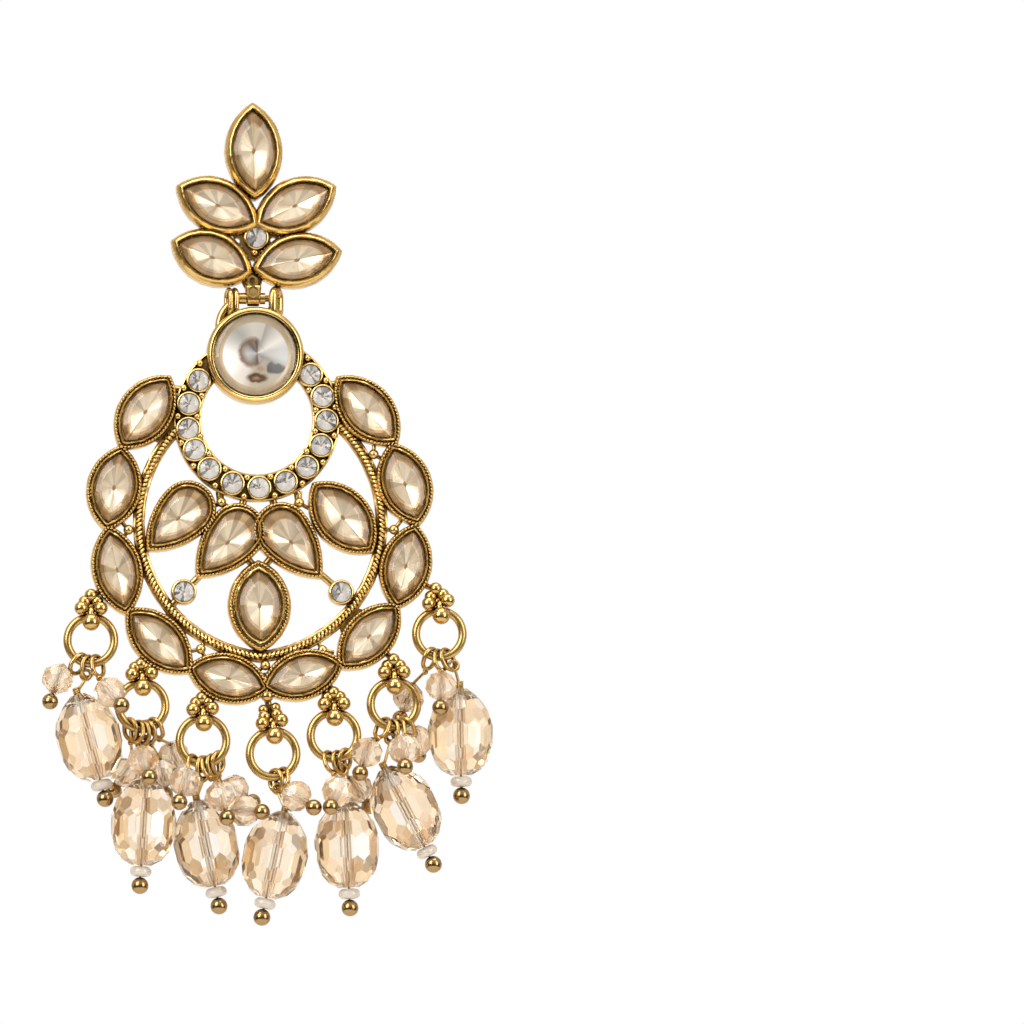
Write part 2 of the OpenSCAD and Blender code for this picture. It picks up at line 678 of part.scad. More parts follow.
module small_pins() {
    color(GOLD) for (row = SMALL) small_pin(row);
}

stud_frame();
ear_post();
for (i = [0 : LEAF_COUNT - 1]) stud_stone(i);
stud_chaton();
drop_frame();
round_stone();
for (i = [0 : RIM_COUNT - 1]) rim_stone(i);
for (i = [0 : PETAL_COUNT - 1]) petal_stone(i);
crescent_chatons();
side_chatons();
for (i = [0 : DROP_COUNT - 1]) jump_ring(i);
small_links();
for (i = [0 : DROP_COUNT - 1]) drop_bead(i);
for (i = [0 : DROP_COUNT - 1]) drop_pin(i);
seed_beads();
small_beads();
small_pins();
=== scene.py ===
"""Looks of the chandbali earring: cast gold settings, foiled stones, glass drops and their wires."""

from math import atan2, cos, hypot, pi, radians, sin, sqrt
from random import Random

import bmesh
import bpy
from mathutils import Matrix, Vector
from mathutils.noise import noise_vector


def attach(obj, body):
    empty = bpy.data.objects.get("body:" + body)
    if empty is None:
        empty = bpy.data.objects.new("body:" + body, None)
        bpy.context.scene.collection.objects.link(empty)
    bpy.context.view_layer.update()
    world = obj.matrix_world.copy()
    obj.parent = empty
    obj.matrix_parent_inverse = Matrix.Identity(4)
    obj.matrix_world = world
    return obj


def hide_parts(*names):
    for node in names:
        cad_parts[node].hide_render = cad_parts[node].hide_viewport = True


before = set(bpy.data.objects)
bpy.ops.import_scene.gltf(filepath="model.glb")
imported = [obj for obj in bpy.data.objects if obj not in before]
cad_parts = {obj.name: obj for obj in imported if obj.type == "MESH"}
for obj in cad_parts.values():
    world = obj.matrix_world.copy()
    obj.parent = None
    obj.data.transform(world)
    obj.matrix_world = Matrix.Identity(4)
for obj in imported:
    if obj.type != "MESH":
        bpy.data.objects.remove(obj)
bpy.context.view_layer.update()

# Sizes are millimetres in the earring's face: x across, y up and z towards the viewer.
# TO_FRAME turns a shape from there into metres in the part's frame.
TO_FRAME = Matrix.Scale(0.001, 4) @ Matrix.Rotation(pi / 2, 4, "X")

# Stud: middle, and leaves by across and up in leaf stone lengths, lean, length and width
LEAF_STONE = (7.6, 4)
STUD_HUB = Vector((0.1, -2.7))
LEAVES = [
    (-0.036, 1.145, -1.8, 1.05, 1.04),
    (-0.508, 0.419, -64.3, 0.97, 0.98),
    (0.509, 0.424, 63.8, 0.97, 0.98),
    (-0.582, -0.269, -67.8, 0.93, 0.98),
    (0.536, -0.295, 77.8, 0.98, 0.98)]
STUD_HOLES = [(-0.15, 3.45), (-1.9, -0.3), (1.7, -0.2)]
HUB_R = 2.3
HOLE_R = 0.28
NUB_AT = Vector((-0.3, -7.05))
NUB_R = 0.62

# Hinge: the bar, the tongue that holds it, and the loops and arch of the drop
HINGE_AT = Vector((0, -8.8, 1.2))
BAR_D = 0.66
TONGUE_X = -0.2
TONGUE_W = 1.6
TONGUE_R = BAR_D / 2 + 0.45
LOOP_WIRE = 0.72
LOOP_R = BAR_D / 2 + 0.15 + LOOP_WIRE / 2
LOOPS = [(-2.35, 13), (2.1, -24)]
LOOP_FALL = 0.9
BAR_END = 0.1
SLEEVE_D = 1.14
SLEEVES = [(-1.62, -0.9), (0.5, 1.0)]
ARCH_AT = Vector((-0.6, -11.7, 1.2))
ARCH_R = 2.98
ARCH_WIRE = 0.84
ARCHES = [(-2, 46), (133, 182)]

# Crescent: its middle, the row of crystals and the round stone above the opening
CRESCENT_AT = Vector((0.2, -20.9))
CRESCENT_R = 6.95
CRESCENT_TURN = (128, 418)
CHATON_ANGLES = [147, 168, 189, 207, 227, 249.5, 272, 294.5, 316, 337.5, 358.5, 379, 399.5]
CHATON_R = 1
ROUND_AT = Vector((0.02, -14.54))
ROUND_R = 4.05

# Rope ring, and rim stones along it: side, steps, lean, length and width, stand-off
ROPE_AT = Vector((0.6, -31.3))
ROPE_W = 24.3
ROPE_H = 26.8
ROPE_BAND = 0.95
RIM_STONE = (7, 3.6)
RIMS = [
    (-1, 4.56, -6.2, 1.01, 1.08, 0.6),
    (-1, 3.56, -1.5, 0.99, 1.07, 0),
    (-1, 2.54, 5.3, 1.04, 0.96, 0.05),
    (-1, 1.53, 1, 1.02, 0.95, 0.2),
    (-1, 0.56, -1, 0.97, 0.95, -0.05),
    (1, 0.69, -2.2, 0.98, 0.95, -0.1),
    (1, 1.64, 0.7, 0.99, 0.95, 0.35),
    (1, 2.61, 2.4, 1, 1, 0.1),
    (1, 3.63, 4.6, 1, 1.07, -0.1),
    (1, 4.66, -1.4, 1.04, 1.06, 0.1)]

# Petals in the ring: across and up in ring sizes, the way the point looks, length and width,
# whether both ends are pointed and how heavy the lip is
PETAL_STONE = (7, 4)
PETALS = [
    (-0.34, 0.012, 223.8, 0.98, 1, False, 1),
    (-0.137, -0.078, 221, 1.02, 1.02, False, 1),
    (0.127, -0.075, 140.2, 1.03, 1.02, False, 1),
    (0.338, 0.019, 139.3, 1.06, 1.04, True, 1),
    (-0.004, -0.312, -1.7, 0.98, 1.04, True, 1.3)]
SIDE_CHATONS = [(-0.315, -0.261), (0.332, -0.26)]
FILLERS = [(11.9, -24.4), (13.95, -31.95), (-12.6, -32.1), (-5.35, -44), (6.8, -44.05),
    (1.1, -45.6), (-3.35, -29.3), (4.45, -29.3)]
FILLER_R = 0.48
FILLER_REACH = 1.2
WEB_R = 1.7
WEB_OFF = 1.5
BRIDGES = [
    ((-1.05, -28.9), (-1.3, -29.9)), ((1.8, -28.9), (2.1, -29.9)),
    ((-3.5, -28.2), (-3.35, -29.3)), ((4.3, -28.2), (4.45, -29.3)),
    ((-8.3, -17.9), (-6.9, -18)), ((-8, -19.9), (-6.9, -20.2)),
    ((8.7, -17.3), (7.5, -17.4)), ((8.6, -19.6), (7.6, -20)),
    ((-6.3, -37.5), (-5.3, -36.5)), ((7.9, -37.5), (6.6, -36.4)),
    ((-7.8, -39.1), (-8.5, -39.9)), ((9.4, -39), (10.2, -39.7)),
    ((-0.7, -34.9), (0.5, -36.2)), ((1.6, -34.9), (0.5, -36.2)), ((0.6, -43.6), (0.6, -44.5))]
BRIDGE_W = 0.66

# Depths: back plate, front of the rims, and the levels of a stone's back and girdle
PLATE_T = 1.2
RIM_T = 2.5
STONE_BACK = 1.29
GIRDLE = 1.98

# Hangers: side, steps, stand-off of the ring's top wire, lean of the cluster, height of its crown
HANGERS = [
    (-1, 2.18, 7.1, 0, 2.15),
    (-1, 1.37, 7.25, -4, 1.8),
    (-1, 0.69, 7.3, -4, 1.95),
    (1, 0.25, 7.5, -10, 3.5),
    (1, 0.86, 7.4, -2, 1.95),
    (1, 1.5, 8.1, -2, 2.1),
    (1, 2.29, 7.65, -10, 2.2)]
CLUSTER_D = 1.38
FRONT_BALL_D = 1.74

# Hanging pieces
RING_D = 5.5
RING_WIRE = 0.84
PIN_WIRE = 0.34
LINK_GAP = 0.1
CONTACT_GAP = 0.08
BEAD_H = 8.7
BEAD_W = 6.8
SMALL_D = 3.3
BORE_R = 0.36
BALL_D = 1.7
SEED_D = 2.2
SEED_H = 1.05
# Large drops: place on the ring, then the bead's middle across, forward and down, its lean
# and how far it is turned about its own hole
DROPS = [
    (-8, -0.17, 0, 9.65, 15, 4),
    (3, 0.16, 0.7, 11.6, -3, 11),
    (0, 0.36, -1.1, 10.18, 12, 19),
    (8, 0.22, 0.6, 10.1, -12, 7),
    (14, 1.33, -0.7, 10.8, 3, 15),
    (-6, 1.02, 0.8, 10.35, 27, 22),
    (24, 2.14, -0.3, 9.8, 1, 9)]
# Small beads: drop, place on the ring, middle across, forward and down, look across and forward
SMALLS = [
    (0, -34, -3.3, 0.3, 3.9, -18, 0),
    (0, 22, 1.84, 2.45, 5.3, 39, 40),
    (1, -16, 0.05, 2.5, 5.6, 19, 40),
    (1, -40, -1.6, -3.1, 6.5, -32, -30),
    (1, 20, 2.05, -1.8, 6.6, 10, -25),
    (1, 46, 3.3, -4.5, 4.7, 20, -40),
    (2, -30, -1.85, 2.3, 4.2, -16, 25),
    (2, 15, 1.65, 2.4, 5.6, 17, 15),
    (2, 32, 4.15, 0.4, 7, 85, 45),
    (2, 52, 3.2, -2.4, 4.8, 60, -20),
    (3, 30, 2.23, 2.2, 4.35, 56, 30),
    (4, -14, 0.23, 2.5, 5.64, -24, 40),
    (4, 36, 2.4, -2.4, 5.2, 38, -25),
    (5, -36, -2.82, 1.9, 4.93, -18, 20),
    (5, 14, 0.92, 2.4, 4.63, -1, 40),
    (5, 44, 2.54, -3.6, 3.45, 10, -55),
    (6, 2, 0.02, 2.4, 5.33, -3, 20),
    (6, -30, -2.96, -2.4, 6.2, -20, -20)]
HANG_Z = 1.2


# Places

def polar(angle, r):
    return Vector((cos(radians(angle)), sin(radians(angle)))) * r


def lifted(spot, z):
    """A flat spot at a depth"""
    return Vector((spot[0], spot[1], z))


def arc_radius(half_l, half_w):
    """Radius of the two arcs that bound a pointed oval"""
    return (half_l**2 + half_w**2) / (2 * half_w)


ROPE_R = arc_radius(ROPE_H / 2, ROPE_W / 2)
RIM_OFF = ROPE_BAND / 2 + RIM_STONE[1] / 2 + 0.42 + 0.16
RIM_STEP = (RIM_STONE[0] + 1.15) / (ROPE_R + RIM_OFF) * 180 / pi


def rope_middle(side):
    """Middle of the arc on one side of the rope ring"""
    return ROPE_AT + Vector((side * (ROPE_W / 2 - ROPE_R), 0))


def rope_angle(row):
    return -90 + row[1] * RIM_STEP


def rope_place(row, out):
    reach = polar(rope_angle(row), ROPE_R + out)
    return rope_middle(row[0]) + Vector((row[0] * reach.x, reach.y))


def leaf_place(row):
    return STUD_HUB + Vector(row[:2]) * LEAF_STONE[0]


def rim_place(row):
    return rope_place(row, RIM_OFF + row[5])


def rim_lean(row):
    return -row[0] * (rope_angle(row) + row[2])


def ring_share(row):
    """A place given as shares of the rope ring's width and height"""
    return ROPE_AT + Vector((row[0] * ROPE_W, row[1] * ROPE_H))


def chaton_place(angle):
    return CRESCENT_AT + polar(angle, CRESCENT_R)


def set_at(place, lean=0):
    """Puts a shape at a place, leaned to the right by an angle"""
    return Matrix.Translation(lifted(place, 0)) @ Matrix.Rotation(-radians(lean), 4, "Z")


# Hanging places
RING_R = (RING_D - RING_WIRE) / 2
HANGER_R = RING_WIRE / 2 + LINK_GAP + LOOP_WIRE / 2
EYE_R = RING_WIRE / 2 + LINK_GAP + PIN_WIRE / 2
LINK_R = (RING_WIRE + PIN_WIRE + 3 * CONTACT_GAP) / 2 + PIN_WIRE / 2
PIN_EYE_R = PIN_WIRE + LINK_GAP + 0.05
SEED_CLEAR = 0.08


def ring_top(i):
    return rope_place(HANGERS[i], HANGERS[i][2])


def ring_middle(i):
    return ring_top(i) - Vector((0, RING_R))


def down_at(angle):
    """A way in the face, from straight down towards the right"""
    return Vector((sin(radians(angle)), -cos(radians(angle)), 0))


def look(across, forward):
    """A way from straight down, across and then forward"""
    return down_at(across) * cos(radians(forward)) + Vector((0, 0, sin(radians(forward))))


def wire_place(i, angle):
    """A place on the wire of a jump ring"""
    return lifted(ring_middle(i), HANG_Z) + down_at(angle) * RING_R


def link_place(i):
    slack = LINK_R - PIN_WIRE / 2 - RING_WIRE / 2 - CONTACT_GAP
    return wire_place(i, DROPS[i][0]) + down_at(DROPS[i][0]) * slack


def eye_place(i):
    return link_place(i) + down_at(DROPS[i][0]) * (LINK_R + PIN_EYE_R - PIN_WIRE - CONTACT_GAP)


def bead_place(i):
    row = DROPS[i]
    return lifted(ring_middle(i), HANG_Z) + Vector((row[1], -row[3], row[2]))


def small_place(row):
    return lifted(ring_middle(row[0]), HANG_Z) + Vector((row[2], -row[4], row[3]))


def aimed(place, way, turn=0):
    """Puts a shape that hangs down its own -y at a place, looking along a way"""
    swing = Vector((0, -1, 0)).rotation_difference(way).to_matrix().to_4x4()
    return Matrix.Translation(place) @ swing @ Matrix.Rotation(radians(turn), 4, "Y")


# Outlines: each gives a spot by its share of the way round from the top, and how far it has grown
TIP_ROUND = 0.07
TIP_GROWTH = 0.16
TIP_SHARE = 0.16
POINT_SHARE = 0.3


def tip_to_side(half_l, half_w, grow, t):
    """A spot on a pointed oval's upper right, from its tip to its widest place"""
    arc = arc_radius(half_l, half_w)
    off = arc - half_w
    reach = arc + grow
    nose = TIP_ROUND + TIP_GROWTH * max(grow, 0)
    up = sqrt(max((reach - nose) ** 2 - off**2, 0.0001))
    lean = atan2(up, off)
    if t < TIP_SHARE:
        a = pi / 2 + (lean - pi / 2) * t / TIP_SHARE
        return Vector((nose * cos(a), up + nose * sin(a)))
    a = lean * (1 - t) / (1 - TIP_SHARE)
    return Vector((reach * cos(a) - off, reach * sin(a)))


def pointed_oval(length, width):
    def spot(share, grow=0):
        quarter, t = divmod(share * 4, 1)
        flip = quarter % 2
        p = tip_to_side(length / 2, width / 2, grow, 1 - t if flip else t)
        return Vector((p.x if share < 0.5 else -p.x, p.y if quarter in (0, 3) else -p.y))
    return spot


def pear(length, width):
    def spot(share, grow=0):
        s = min(share, 1 - share)
        if s < POINT_SHARE:
            p = tip_to_side(length - width / 2, width / 2, grow, s / POINT_SHARE)
        else:
            a = (s - POINT_SHARE) / (0.5 - POINT_SHARE) * pi / 2
            p = Vector((cos(a), -sin(a))) * (width / 2 + grow)
        return Vector((p.x if share < 0.5 else -p.x, p.y + width / 2 - length / 2))
    return spot


def disc(radius):
    def spot(share, grow=0):
        return Vector((sin(2 * pi * share), cos(2 * pi * share))) * (radius + grow)
    return spot


def even_spots(spot, pitch):
    """Spots at an even pitch along an outline"""
    steps = 720
    trail = [spot(i / steps) for i in range(steps)]
    trail.append(trail[0])
    lengths = [(b - a).length for a, b in zip(trail, trail[1:])]
    count = round(sum(lengths) / pitch)
    gap = sum(lengths) / count
    found, walked = [], 0
    for a, b, length in zip(trail, trail[1:], lengths):
        while len(found) < count and walked + length >= len(found) * gap:
            t = (len(found) * gap - walked) / length
            found.append((a.lerp(b, t), atan2(b.y - a.y, b.x - a.x)))
        walked += length
    return found


# Shapes

def as_mesh(bm):
    mesh = bpy.data.meshes.new("shape")
    bm.to_mesh(mesh)
    bm.free()
    return mesh


def stamp(bm, shape, *places):
    """Adds a copy of a finished shape at each place"""
    for place in places:
        copy = shape.copy()
        copy.transform(place)
        bm.from_mesh(copy)
        bpy.data.meshes.remove(copy)


def is_vert(g):
    return isinstance(g, bmesh.types.BMVert)


def is_edge(g):
    return isinstance(g, bmesh.types.BMEdge)


def skin(bm, count, spots, cap_first=True, cap_last=True):
    """Skins a row of loops, each given as a function from the share of the way round to a spot"""
    share = bm.verts.layers.float.get("share") or bm.verts.layers.float.new("share")
    loop = bmesh.ops.create_circle(bm, segments=count, radius=1)["verts"]
    for i, v in enumerate(loop):
        v[share] = i / count
        v.co = spots[0](v[share])
    edges = list({e for v in loop for e in v.link_edges})
    if cap_first:
        bmesh.ops.contextual_create(bm, geom=edges)
    for spot in spots[1:]:
        made = bmesh.ops.extrude_edge_only(bm, edges=edges)["geom"]
        loop = {g for g in made if is_vert(g)}
        edges = [g for g in made if is_edge(g) and loop.issuperset(g.verts)]
        for v in loop:
            v.co = spot(v[share])
    if cap_last:
        bmesh.ops.contextual_create(bm, geom=edges)


def grown(outline, steps):
    """Loops of an outline from rows of how far it has grown and its depth"""
    return [lambda s, g=g, z=z: lifted(outline(s, g), z) for g, z in steps]


def shrunk(outline, steps):
    """Loops of an outline from rows of its share of full size and its depth"""
    return [lambda s, k=k, z=z: lifted(outline(s) * k, z) for k, z in steps]


def lathe(bm, steps, count=32):
    """A round shape about the y axis, from rows of radius and height"""
    skin(bm, count, [lambda s, r=r, y=y: Vector((r * cos(2 * pi * s), y, r * sin(2 * pi * s)))
        for r, y in steps])


def ball(bm, place, d, cuts=(24, 14)):
    made = bmesh.ops.create_uvsphere(bm, u_segments=cuts[0], v_segments=cuts[1], radius=d / 2)["verts"]
    bmesh.ops.rotate(bm, verts=made, matrix=Matrix.Rotation(pi / 2, 3, "X"))
    bmesh.ops.translate(bm, verts=made, vec=place)


def spun(bm, r, wire, turn=360, count=64, sides=14, rise=0):
    """A wire bent about the z axis from the x axis, closed when it goes all the way"""
    full = turn == 360 and not rise
    made = bmesh.ops.create_circle(bm, segments=sides, radius=wire / 2,
        matrix=Matrix.Translation((r, 0, 0)) @ Matrix.Rotation(pi / 2, 4, "X"))["verts"]
    edges = list({e for v in made for e in v.link_edges})
    if not full:
        bmesh.ops.contextual_create(bm, geom=edges)
    end = bmesh.ops.spin(bm, geom=made + edges, cent=(0, 0, 0), axis=(0, 0, 1), angle=radians(turn),
        dvec=(0, 0, rise / count), steps=count, use_merge=full)["geom_last"]
    if not full:
        bmesh.ops.contextual_create(bm, geom=[g for g in end if is_edge(g)])


def rod(bm, p, q, d, d_end=None, sides=14):
    """A round rod between two points"""
    way = q - p
    turn = Vector((0, 0, 1)).rotation_difference(way).to_matrix().to_4x4()
    bmesh.ops.create_cone(bm, cap_ends=True, segments=sides, radius1=d / 2,
        radius2=(d_end or d) / 2, depth=way.length, matrix=Matrix.Translation((p + q) / 2) @ turn)


def torus(r, wire, count=64, sides=14):
    bm = bmesh.new()
    spun(bm, r, wire, count=count, sides=sides)
    return as_mesh(bm)


def stretched(shape, fall):
    """Lengthens a ring into an oval link by lowering its lower half"""
    for v in shape.vertices:
        if v.co.y < -0.001:
            v.co.y -= fall
    return shape


def facing(place, way, roll=0):
    """Puts a shape made about the z axis at a place, with that axis along a way"""
    turn = Vector((0, 0, 1)).rotation_difference(way).to_matrix().to_4x4()
    return Matrix.Translation(place) @ turn @ Matrix.Rotation(radians(roll), 4, "Z")


# Materials

def node(tree, kind, inputs=None, **values):
    made = tree.nodes.new("ShaderNode" + kind)
    for name, value in values.items():
        setattr(made, name, value)
    for name, value in (inputs or {}).items():
        if isinstance(value, bpy.types.NodeSocket):
            tree.links.new(value, made.inputs[name])
        else:
            made.inputs[name].default_value = value
    return made


def fresh(name):
    """A new material with its Principled shader"""
    material = bpy.data.materials.new(name)
    material.use_nodes = True
    tree = material.node_tree
    return material, tree, tree.nodes["Principled BSDF"]


def millimetres(tree):
    """Object coordinates in millimetres"""
    coordinates = node(tree, "TexCoord").outputs["Object"]
    return node(tree, "Mapping", {"Vector": coordinates, "Scale": (1000, 1000, 1000)}).outputs[0]


def noise(tree, where, scale, detail=3, roughness=0.5):
    return node(tree, "TexNoise", {"Vector": where, "Scale": scale, "Detail": detail,
        "Roughness": roughness}).outputs["Fac"]


def ramp(tree, factor, *stops):
    """A colour ramp from stops of place and grey or colour"""
    made = node(tree, "ValToRGB", {"Fac": factor})
    elements = made.color_ramp.elements
    while len(elements) < len(stops):
        elements.new(0.5)
    for element, (place, tone) in zip(elements, stops):
        element.position = place
        element.color = (tone, tone, tone, 1) if isinstance(tone, (int, float)) else (*tone, 1)
    return made.outputs["Color"]


def mixed(tree, factor, a, b, blend="MIX"):
    made = node(tree, "Mix", data_type="RGBA", blend_type=blend)
    for slot, value in ((0, factor), (6, a), (7, b)):
        if isinstance(value, bpy.types.NodeSocket):
            tree.links.new(value, made.inputs[slot])
        else:
            made.inputs[slot].default_value = value if isinstance(value, (int, float)) else (*value, 1)
    return made.outputs[2]


def bumped(tree, shader, height, distance, strength=1.0):
    bump = node(tree, "Bump", {"Height": height, "Distance": distance / 1000, "Strength": strength})
    tree.links.new(bump.outputs["Normal"], shader.inputs["Normal"])


def antique_gold(name, bright, dark, rough=0.16, patina=1.0, grain=0.006, uneven=0.13):
    """Plated metal with a fine uneven cast skin, bright on what stands proud and brown in the recesses and
    where parts come close: the patina of the antique finish together with painted shade from ambient
    occlusion, which darkens the colour even where patina is 0
    """
    material, tree, shader = fresh(name)
    where = millimetres(tree)
    # Painted shade: ambient occlusion darkens the base colour towards the dark brown in recesses and where
    # parts come close, on top of the patina spots
    open_sky = node(tree, "AmbientOcclusion", {"Distance": 0.0007}, samples=6).outputs["AO"]
    spots = noise(tree, where, 1.4, 4, 0.6)
    free_of_shade_and_patina = mixed(tree, 0.35 * patina, open_sky, spots, "OVERLAY")
    shade = ramp(tree, free_of_shade_and_patina, (0.2, 0.0), (0.45, 0.42), (0.76, 1.0))
    tone = mixed(tree, noise(tree, where, 0.35, 2), bright, [c * 0.84 for c in bright])
    tree.links.new(mixed(tree, shade, dark, tone), shader.inputs["Base Color"])
    tree.links.new(ramp(tree, noise(tree, where, 2.6, 4), (0.3, rough), (0.75, rough + uneven)),
        shader.inputs["Roughness"])
    shader.inputs["Metallic"].default_value = 1
    bumped(tree, shader, noise(tree, where, 3.2, 4, 0.55), grain)
    return material


def facet_tone(tree, *stops):
    return ramp(tree, node(tree, "Attribute", attribute_name="facet").outputs["Fac"], *stops)


def clear_glass(name, tones, ior=1.5, rough=0.0, lustre=0.0, veil=0.0):
    """Glass tinted facet by facet, with a veil for the share of it that is milky"""
    material, tree, shader = fresh(name)
    tone = facet_tone(tree, *tones)
    cloud = ramp(tree, noise(tree, millimetres(tree), 0.6, 2), (0.3, 0.93), (0.7, 1.0))
    tree.links.new(mixed(tree, 1.0, tone, cloud, "MULTIPLY"), shader.inputs["Base Color"])
    shader.inputs["Transmission Weight"].default_value = 1 - veil
    shader.inputs["IOR"].default_value = ior
    shader.inputs["Roughness"].default_value = rough
    shader.inputs["Coat Weight"].default_value = lustre
    shader.inputs["Coat Roughness"].default_value = 0.03
    return material


def depth_tone(tree, where, *stops):
    """A colour ramp from the depth of a set stone: 0 at its culet and 1 at its girdle"""
    depth = node(tree, "SeparateXYZ", {"Vector": where}).outputs["Y"]
    share = node(tree, "MapRange", {"Value": depth, "From Min": -STONE_BACK, "From Max": -GIRDLE})
    return ramp(tree, share.outputs["Result"], *stops)


def foil(name, colour, rough, milky, tones):
    """The backing of a set stone, seen through its crown"""
    material, tree, shader = fresh(name)
    where = millimetres(tree)
    tree.links.new(mixed(tree, 1.0, colour(tree, where), facet_tone(tree, *tones), "MULTIPLY"),
        shader.inputs["Base Color"])
    shader.inputs["Metallic"].default_value = 1 - milky
    shader.inputs["Roughness"].default_value = rough
    bumped(tree, shader, noise(tree, where, 0.7, 1), 0.015)
    return material


# The peach of a stone, pale in the middle, with a painted highlight line near the table's edge and painted
# shade that darkens it towards the girdle
def peach_with_painted_light_and_shade(tree, where):
    cloudy = mixed(tree, noise(tree, where, 0.55, 2), (1.0, 0.99, 0.96), (0.86, 0.78, 0.64))
    tone = depth_tone(tree, where, (0.0, (0.93, 0.87, 0.76)), (0.56, (0.9, 0.83, 0.69)),
        (0.61, (1.0, 0.97, 0.9)), (0.66, (0.68, 0.5, 0.3)), (0.82, (0.82, 0.67, 0.46)),
        (0.94, (0.6, 0.41, 0.22)), (1.0, (0.34, 0.19, 0.09)))
    return mixed(tree, 0.7, tone, cloudy, "MULTIPLY")


def plain_tone(*colour):
    return lambda tree, where: mixed(tree, noise(tree, where, 0.5, 2), colour, [c * 0.9 for c in colour])


# The round stone's painted reflections. Sectors: share of the way round from the left, by the foot, and colour
PAINTED_REFLECTION_SECTORS = [(0.0, (0.85, 0.86, 0.86)), (0.08, (1.0, 0.99, 0.97)), (0.17, (0.97, 0.95, 0.92)),
    (0.22, (0.62, 0.58, 0.49)), (0.33, (0.5, 0.46, 0.37)), (0.42, (0.3, 0.3, 0.29)),
    (0.47, (0.5, 0.53, 0.54)), (0.53, (0.62, 0.65, 0.66)), (0.58, (1.0, 1.0, 0.99)),
    (0.63, (0.8, 0.81, 0.8)), (0.7, (0.45, 0.45, 0.42)), (0.71, (0.7, 0.7, 0.67)),
    (0.78, (0.76, 0.76, 0.72)), (0.87, (0.5, 0.52, 0.52)), (1.0, (0.85, 0.86, 0.86))]
INNER_PAINTED_REFLECTION_SECTORS = [(0.0, (0.62, 0.66, 0.7)), (0.12, (0.46, 0.48, 0.5)), (0.19, (0.3, 0.26, 0.23)),
    (0.25, (0.12, 0.09, 0.08)), (0.3, (0.5, 0.46, 0.42)), (0.4, (0.3, 0.31, 0.33)),
    (0.5, (0.6, 0.63, 0.66)), (0.57, (1.0, 1.0, 1.0)), (0.64, (0.7, 0.72, 0.73)),
    (0.72, (0.42, 0.43, 0.44)), (0.76, (0.08, 0.07, 0.07)), (0.8, (0.3, 0.22, 0.16)),
    (0.86, (0.16, 0.14, 0.14)), (0.92, (0.4, 0.41, 0.43)), (1.0, (0.62, 0.66, 0.7))]
# Painted glints and dark reflections: across and up from the apex, half width and height, softness and colour
PAINTED_GLINTS = [
    (1.85, -1.55, 0.95, 0.6, 0.35, (0.08, 0.08, 0.09)),
    (1.35, -1.45, 0.5, 0.75, 0.4, (0.1, 0.1, 0.11)),
    (0.0, -2.5, 1.3, 0.62, 0.4, (0.12, 0.065, 0.03)),
    (-0.15, -2.55, 0.5, 0.26, 0.8, (0.45, 0.28, 0.18)),
    (0.3, -1.55, 0.5, 0.35, 0.7, (0.5, 0.34, 0.27)),
    (-0.62, 0.05, 1.4, 1.6, 0.25, (0.26, 0.17, 0.12))]
APEX_PART = (-0.28, 0.1, 1.3, 1.5, 0.4)


def near_to(tree, where, x, y, half_w, half_h, soft):
    """A soft-edged oval mask round a spot"""
    near = node(tree, "Mapping", {"Vector": where, "Location": (-x / half_w, 0, -y / half_h),
        "Scale": (1 / half_w, 0, 1 / half_h)}).outputs[0]
    away = node(tree, "VectorMath", {0: near}, operation="LENGTH").outputs["Value"]
    return ramp(tree, away, (1 - soft, 1.0), (1.0, 0.0))


def painted_cone_reflections(tree, where):
    """Painted reflections: silver sectors round the apex with painted dark glints in them, inside a champagne
    band
    """
    sway = node(tree, "TexNoise", {"Vector": where, "Scale": 1.3, "Detail": 3}).outputs["Color"]
    bent = node(tree, "VectorMath", {0: sway, "Scale": 0.6}, operation="SCALE").outputs[0]
    middle = (ROUND_AT.x + 0.2, 0, ROUND_AT.y + 0.2)
    still = node(tree, "VectorMath", {0: where, 1: middle}, operation="SUBTRACT").outputs[0]
    flat = node(tree, "Mapping", {"Vector": still, "Rotation": (-pi / 2, 0, 0)}).outputs[0]
    angle = node(tree, "TexGradient", {"Vector": flat}, gradient_type="RADIAL").outputs["Fac"]
    moved = node(tree, "VectorMath", {0: still, 1: bent}, operation="ADD").outputs[0]
    moved = node(tree, "VectorMath", {0: moved, 1: (0.3, 0.3, 0.3)}, operation="SUBTRACT").outputs[0]
    tone = ramp(tree, angle, *PAINTED_REFLECTION_SECTORS)
    for x, y, half_w, half_h, soft, colour in PAINTED_GLINTS:
        tone = mixed(tree, near_to(tree, moved, x, y, half_w, half_h, soft), tone, colour)
    tone = mixed(tree, near_to(tree, moved, *APEX_PART), tone, ramp(tree, angle, *INNER_PAINTED_REFLECTION_SECTORS))
    edge = mixed(tree, noise(tree, where, 0.5, 2), (0.4, 0.28, 0.13), (0.72, 0.63, 0.48))
    band = depth_tone(tree, where, (0.94, 0.0), (0.98, 1.0))
    return mixed(tree, band, tone, edge)


def pearl(name, colour):
    material, tree, shader = fresh(name)
    where = millimetres(tree)
    tree.links.new(mixed(tree, noise(tree, where, 0.9, 2), colour, [c * 0.95 for c in colour]),
        shader.inputs["Base Color"])
    shader.inputs["Roughness"].default_value = 0.22
    shader.inputs["Subsurface Weight"].default_value = 0.3
    shader.inputs["Subsurface Radius"].default_value = (0.0006, 0.0005, 0.0004)
    shader.inputs["Subsurface Scale"].default_value = 1
    shader.inputs["Coat Weight"].default_value = 0.6
    shader.inputs["Coat Roughness"].default_value = 0.08
    bumped(tree, shader, noise(tree, where, 2, 2), 0.01)
    return material


